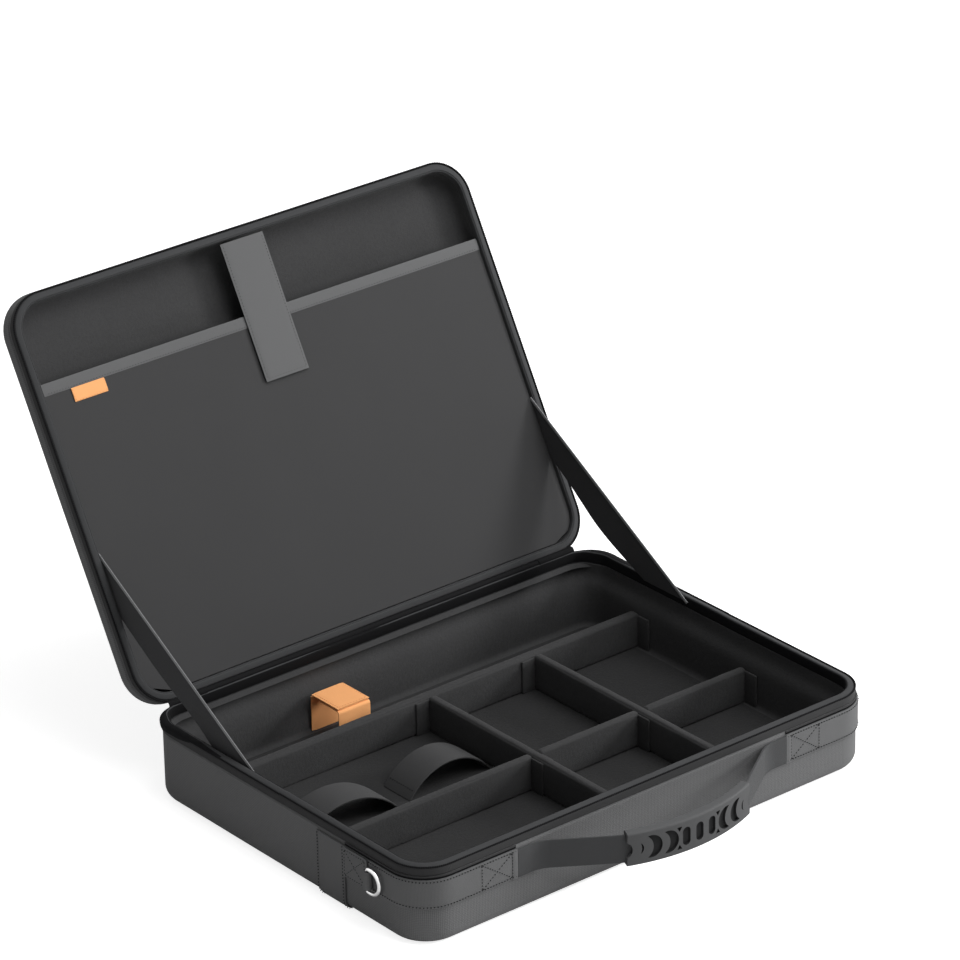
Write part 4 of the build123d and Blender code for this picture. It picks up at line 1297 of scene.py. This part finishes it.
def build_gussets():
    """Thin webs that stop the lid; they run from the base's rim to the open lid's, with slack
    between.
    """
    low, high = node_box("gusset_left")
    middle_x = (low[0] + high[0]) / 2
    reach, start, hem = 115.0, 68.0, 3.0  # sewn from start to reach, hem inside both rims
    base_a, base_b = (Vector((0, HINGE_Y - d, RIM_TOP - hem)) for d in (start, reach))
    lid_a, lid_b = (lid_point(0, d, hem - RIM_GAP) for d in (start, reach))
    heel = Vector((0, HINGE_Y, HINGE_Z))
    count, columns = 14, 34
    web, layers = Cloth(), []
    for side in (-1, 1):
        rows = []
        for s in spread(0.0, 1.0, count):
            near, far = base_a.lerp(base_b, s), lid_a.lerp(lid_b, s)
            row = []
            for t in spread(0.0, 1.0, columns):
                # taut along the front, slack towards the hinge
                slack = math.sin(math.pi * t) * (1 - s) ** 2
                p = near.lerp(far, t)
                p += (heel - p).normalized() * 3.0 * slack
                belly = slack * 1.6 + math.sin(2 * math.pi * t) * (1 - s) * 0.7
                row.append(Vector((middle_x + side * 0.2 + belly, p.y, p.z)))
            rows.append(row)
        layers.append(rows)
        web.grid(rows, lambda i, j: (i * 3.4, j * 4.0), flip=side > 0)
    web.edges(*layers, lambda i, j: (i * 0.4, j * 4.0), lambda i, j: (i * 0.4, j * 4.0))
    # hem along the taut edge
    way = (lid_b - base_b).normalized()
    inward = Vector((0, way.z, -way.y))
    if inward.dot(base_a - base_b) < 0:
        inward = -inward
    line = [base_b.lerp(lid_b, s) + ALONG_X * middle_x + inward * 1.1
            for s in spread(0.0, 1.0, 40)]
    trim = ribbon(line, [-ALONG_X] * 41, inward, 2.4, 1.0, edge=0.3, columns=4)
    for side in SIDES:
        cloth = web.on(side).piece(
            f"gusset_web_{side}", None, ["gusset"], [f"gusset_{side}"], "gusset_fabric")
        edging = trim.on(side).piece(f"gusset_hem_{side}", None, ["hem"], (), "gusset_fabric")
        for thing in (cloth, edging):
            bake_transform(thing)


# ------------------------------------------------------------------- stage
def floor_paper():
    """Pale matt paper, which glows a little where the camera sees it."""
    material = bpy.data.materials.new("floor paper")
    material.use_nodes = True
    tree = material.node_tree
    shader = tree.nodes["Principled BSDF"]
    grain = add_node(tree, "TexNoise", Scale=180.0).outputs["Fac"]
    bump = add_node(tree, "Bump", Distance=0.0001, Strength=0.1, Height=grain)
    for name, value in (("Base Color", (0.82, 0.82, 0.82, 1)), ("Roughness", 0.9),
                        ("Normal", bump.outputs[0])):
        put(shader.inputs[name], value)
    seen = add_node(tree, "LightPath").outputs["Is Camera Ray"]
    seen = add_node(tree, "Math", "MULTIPLY", seen, 0.8).outputs[0]
    glow = add_node(tree, "Emission", Color=(1, 1, 1, 1), Strength=seen)
    both = add_node(tree, "AddShader", None, shader.outputs[0], glow.outputs[0])
    put(tree.nodes["Material Output"].inputs[0], both.outputs[0])
    return material


def plain_sky():
    """A world that the camera and gloss see as white, and that lights less."""
    world = bpy.data.worlds.new("plain sky")
    world.use_nodes = True
    tree = world.node_tree
    path = add_node(tree, "LightPath").outputs
    both = add_node(tree, "Math", "MAXIMUM", path["Is Camera Ray"], path["Is Glossy Ray"])
    strength = add_node(tree, "MapRange", Value=both.outputs[0], To_Min=0.19, To_Max=1.0)
    sky = tree.nodes["Background"]
    put(sky.inputs["Color"], (1, 1, 1, 1))
    put(sky.inputs["Strength"], strength.outputs[0])
    return world


def stand_point(azimuth, height):
    """The way from the case to a place round it; 0 degrees is straight in front."""
    a, e = math.radians(azimuth), math.radians(height)
    return Vector((math.sin(a) * math.cos(e), -math.cos(a) * math.cos(e), math.sin(e)))


def place_camera(azimuth, height, roll, lens, aim, offset):
    """A long lens; aim and the offset to its right, up and back are in millimetres."""
    back = stand_point(azimuth, height)
    right = ALONG_Z.cross(back).normalized()
    up = back.cross(right)
    c, s = math.cos(math.radians(roll)), math.sin(math.radians(roll))
    axes = (right * c + up * s, up * c - right * s, back)
    camera = bpy.data.cameras.new("camera")
    camera.sensor_width, camera.lens, camera.clip_end = 36, lens, 50
    thing = bpy.data.objects.new("camera", camera)
    place = sum((axis * way for axis, way in zip(axes, offset)), Vector(aim))
    matrix = Matrix(axes).transposed().to_4x4()
    matrix.translation = place * MM
    thing.matrix_world = matrix
    return thing


def build_stage():
    """Pale floor, soft lamps, plain world and the camera."""
    scene = bpy.context.scene
    half, n = 15.0, 6
    mesh = bpy.data.meshes.new("floor")
    ticks = spread(-half, half, n)
    mesh.from_pydata(
        [(x, y, 0) for x in ticks for y in ticks], [],
        [(k, k + n + 1, k + n + 2, k + 1)
         for i in range(n) for k in range(i * (n + 1), i * (n + 1) + n)])
    mesh.materials.append(floor_paper())
    floor = bpy.data.objects.new("floor", mesh)
    scene.collection.objects.link(floor)
    scene.world = plain_sky()
    for name, energy, azimuth, height, width in (
        ("key lamp", 28.0, 60.0, 18.0, 0.6),
        ("broad lamp", 42.0, 36.0, 62.0, 2.0),
    ):
        light = bpy.data.lights.new(name, "AREA")
        light.energy, light.size = energy, width
        lamp = bpy.data.objects.new(name, light)
        scene.collection.objects.link(lamp)
        way = stand_point(azimuth, height)
        lamp.location = Vector((0, 0, 0.08)) + way * 2.2
        lamp.rotation_euler = way.to_track_quat("Z", "Y").to_euler()
    scene.camera = place_camera(azimuth=-38.95, height=25.44, roll=-1.16, lens=206.99775,
                                aim=(0, 1.88, 80), offset=(-19.52, 133.38, 3812.76))
    scene.collection.objects.link(scene.camera)
    scene.view_settings.view_transform = "Standard"


# --------------------------------------------------------------- operators
class CASE_OT_shells(bpy.types.Operator):
    """Makes both moulded shells"""

    bl_idname = "case.shells"
    bl_label = "Moulded shells"

    def execute(self, context):
        build_shells()
        return {"FINISHED"}


class CASE_OT_linings(bpy.types.Operator):
    """Makes the linings of base and lid"""

    bl_idname = "case.linings"
    bl_label = "Linings"

    def execute(self, context):
        build_linings()
        return {"FINISHED"}


class CASE_OT_rims(bpy.types.Operator):
    """Makes the padded rims, bindings, piping and zip"""

    bl_idname = "case.rims"
    bl_label = "Rims, zips and piping"

    def execute(self, context):
        build_rims()
        return {"FINISHED"}


class CASE_OT_hinge_strip(bpy.types.Operator):
    """Makes the fabric that joins both rims at the rear"""

    bl_idname = "case.hinge_strip"
    bl_label = "Fabric hinge"

    def execute(self, context):
        build_hinge_strip()
        return {"FINISHED"}


class CASE_OT_dividers(bpy.types.Operator):
    """Makes the padded dividers and their flanges"""

    bl_idname = "case.dividers"
    bl_label = "Padded dividers"

    def execute(self, context):
        build_dividers()
        return {"FINISHED"}


class CASE_OT_loops(bpy.types.Operator):
    """Makes the two elastic arches"""

    bl_idname = "case.loops"
    bl_label = "Elastic loops"

    def execute(self, context):
        build_loops()
        return {"FINISHED"}


class CASE_OT_tie_strap(bpy.types.Operator):
    """Makes the tie strap's anchor, keeper and flap"""

    bl_idname = "case.tie_strap"
    bl_label = "Orange tie strap"

    def execute(self, context):
        build_tie_strap()
        return {"FINISHED"}


class CASE_OT_bands(bpy.types.Operator):
    """Makes the front and side bands with their stitches"""

    bl_idname = "case.bands"
    bl_label = "Outer webbing"

    def execute(self, context):
        build_bands()
        return {"FINISHED"}


class CASE_OT_rings(bpy.types.Operator):
    """Makes the ring tabs and the rings"""

    bl_idname = "case.rings"
    bl_label = "Ring tabs and rings"

    def execute(self, context):
        build_rings()
        return {"FINISHED"}


class CASE_OT_handle(bpy.types.Operator):
    """Makes the handle's strap and its moulded grip"""

    bl_idname = "case.handle"
    bl_label = "Handle"

    def execute(self, context):
        build_handle()
        return {"FINISHED"}


class CASE_OT_slides(bpy.types.Operator):
    """Gives the zip sliders and pulls their enamel"""

    bl_idname = "case.slides"
    bl_label = "Zip sliders and pulls"

    def execute(self, context):
        build_slides()
        return {"FINISHED"}


class CASE_OT_pocket(bpy.types.Operator):
    """Makes the lid pocket, its tag and the closing strap"""

    bl_idname = "case.pocket"
    bl_label = "Lid pocket"

    def execute(self, context):
        build_pocket()
        return {"FINISHED"}


class CASE_OT_gussets(bpy.types.Operator):
    """Makes the webs that stop the open lid"""

    bl_idname = "case.gussets"
    bl_label = "Gussets"

    def execute(self, context):
        build_gussets()
        return {"FINISHED"}


class CASE_OT_stage(bpy.types.Operator):
    """Makes the floor, lamps, world and camera"""

    bl_idname = "case.stage"
    bl_label = "Stage"

    def execute(self, context):
        build_stage()
        return {"FINISHED"}


STEPS = (
    CASE_OT_shells, CASE_OT_linings, CASE_OT_rims, CASE_OT_hinge_strip, CASE_OT_dividers,
    CASE_OT_loops, CASE_OT_tie_strap, CASE_OT_bands, CASE_OT_rings, CASE_OT_handle,
    CASE_OT_slides, CASE_OT_pocket, CASE_OT_gussets, CASE_OT_stage,
)


class CASE_PT_panel(bpy.types.Panel):
    """Lists the case's pieces and their settings"""

    bl_idname = "CASE_PT_panel"
    bl_label = "Hard case"
    bl_space_type = "VIEW_3D"
    bl_region_type = "UI"
    bl_category = "Hard case"

    def draw(self, context):
        for step in STEPS:
            self.layout.operator(step.bl_idname)
        for group in (context.scene.case_sizes, context.scene.case_palette):
            for name in group.bl_rna.properties.keys():
                if name not in {"rna_type", "name"}:
                    self.layout.prop(group, name)


CLASSES = (CasePalette, CaseSizes, *STEPS, CASE_PT_panel)


def register():
    for kind in CLASSES:
        bpy.utils.register_class(kind)
    bpy.types.Scene.case_palette = bpy.props.PointerProperty(type=CasePalette)
    bpy.types.Scene.case_sizes = bpy.props.PointerProperty(type=CaseSizes)


def unregister():
    del bpy.types.Scene.case_sizes
    del bpy.types.Scene.case_palette
    for kind in reversed(CLASSES):
        bpy.utils.unregister_class(kind)


def main():
    register()
    for step in STEPS:
        getattr(bpy.ops.case, step.bl_idname.split(".")[1])()


if __name__ == "__main__":
    main()
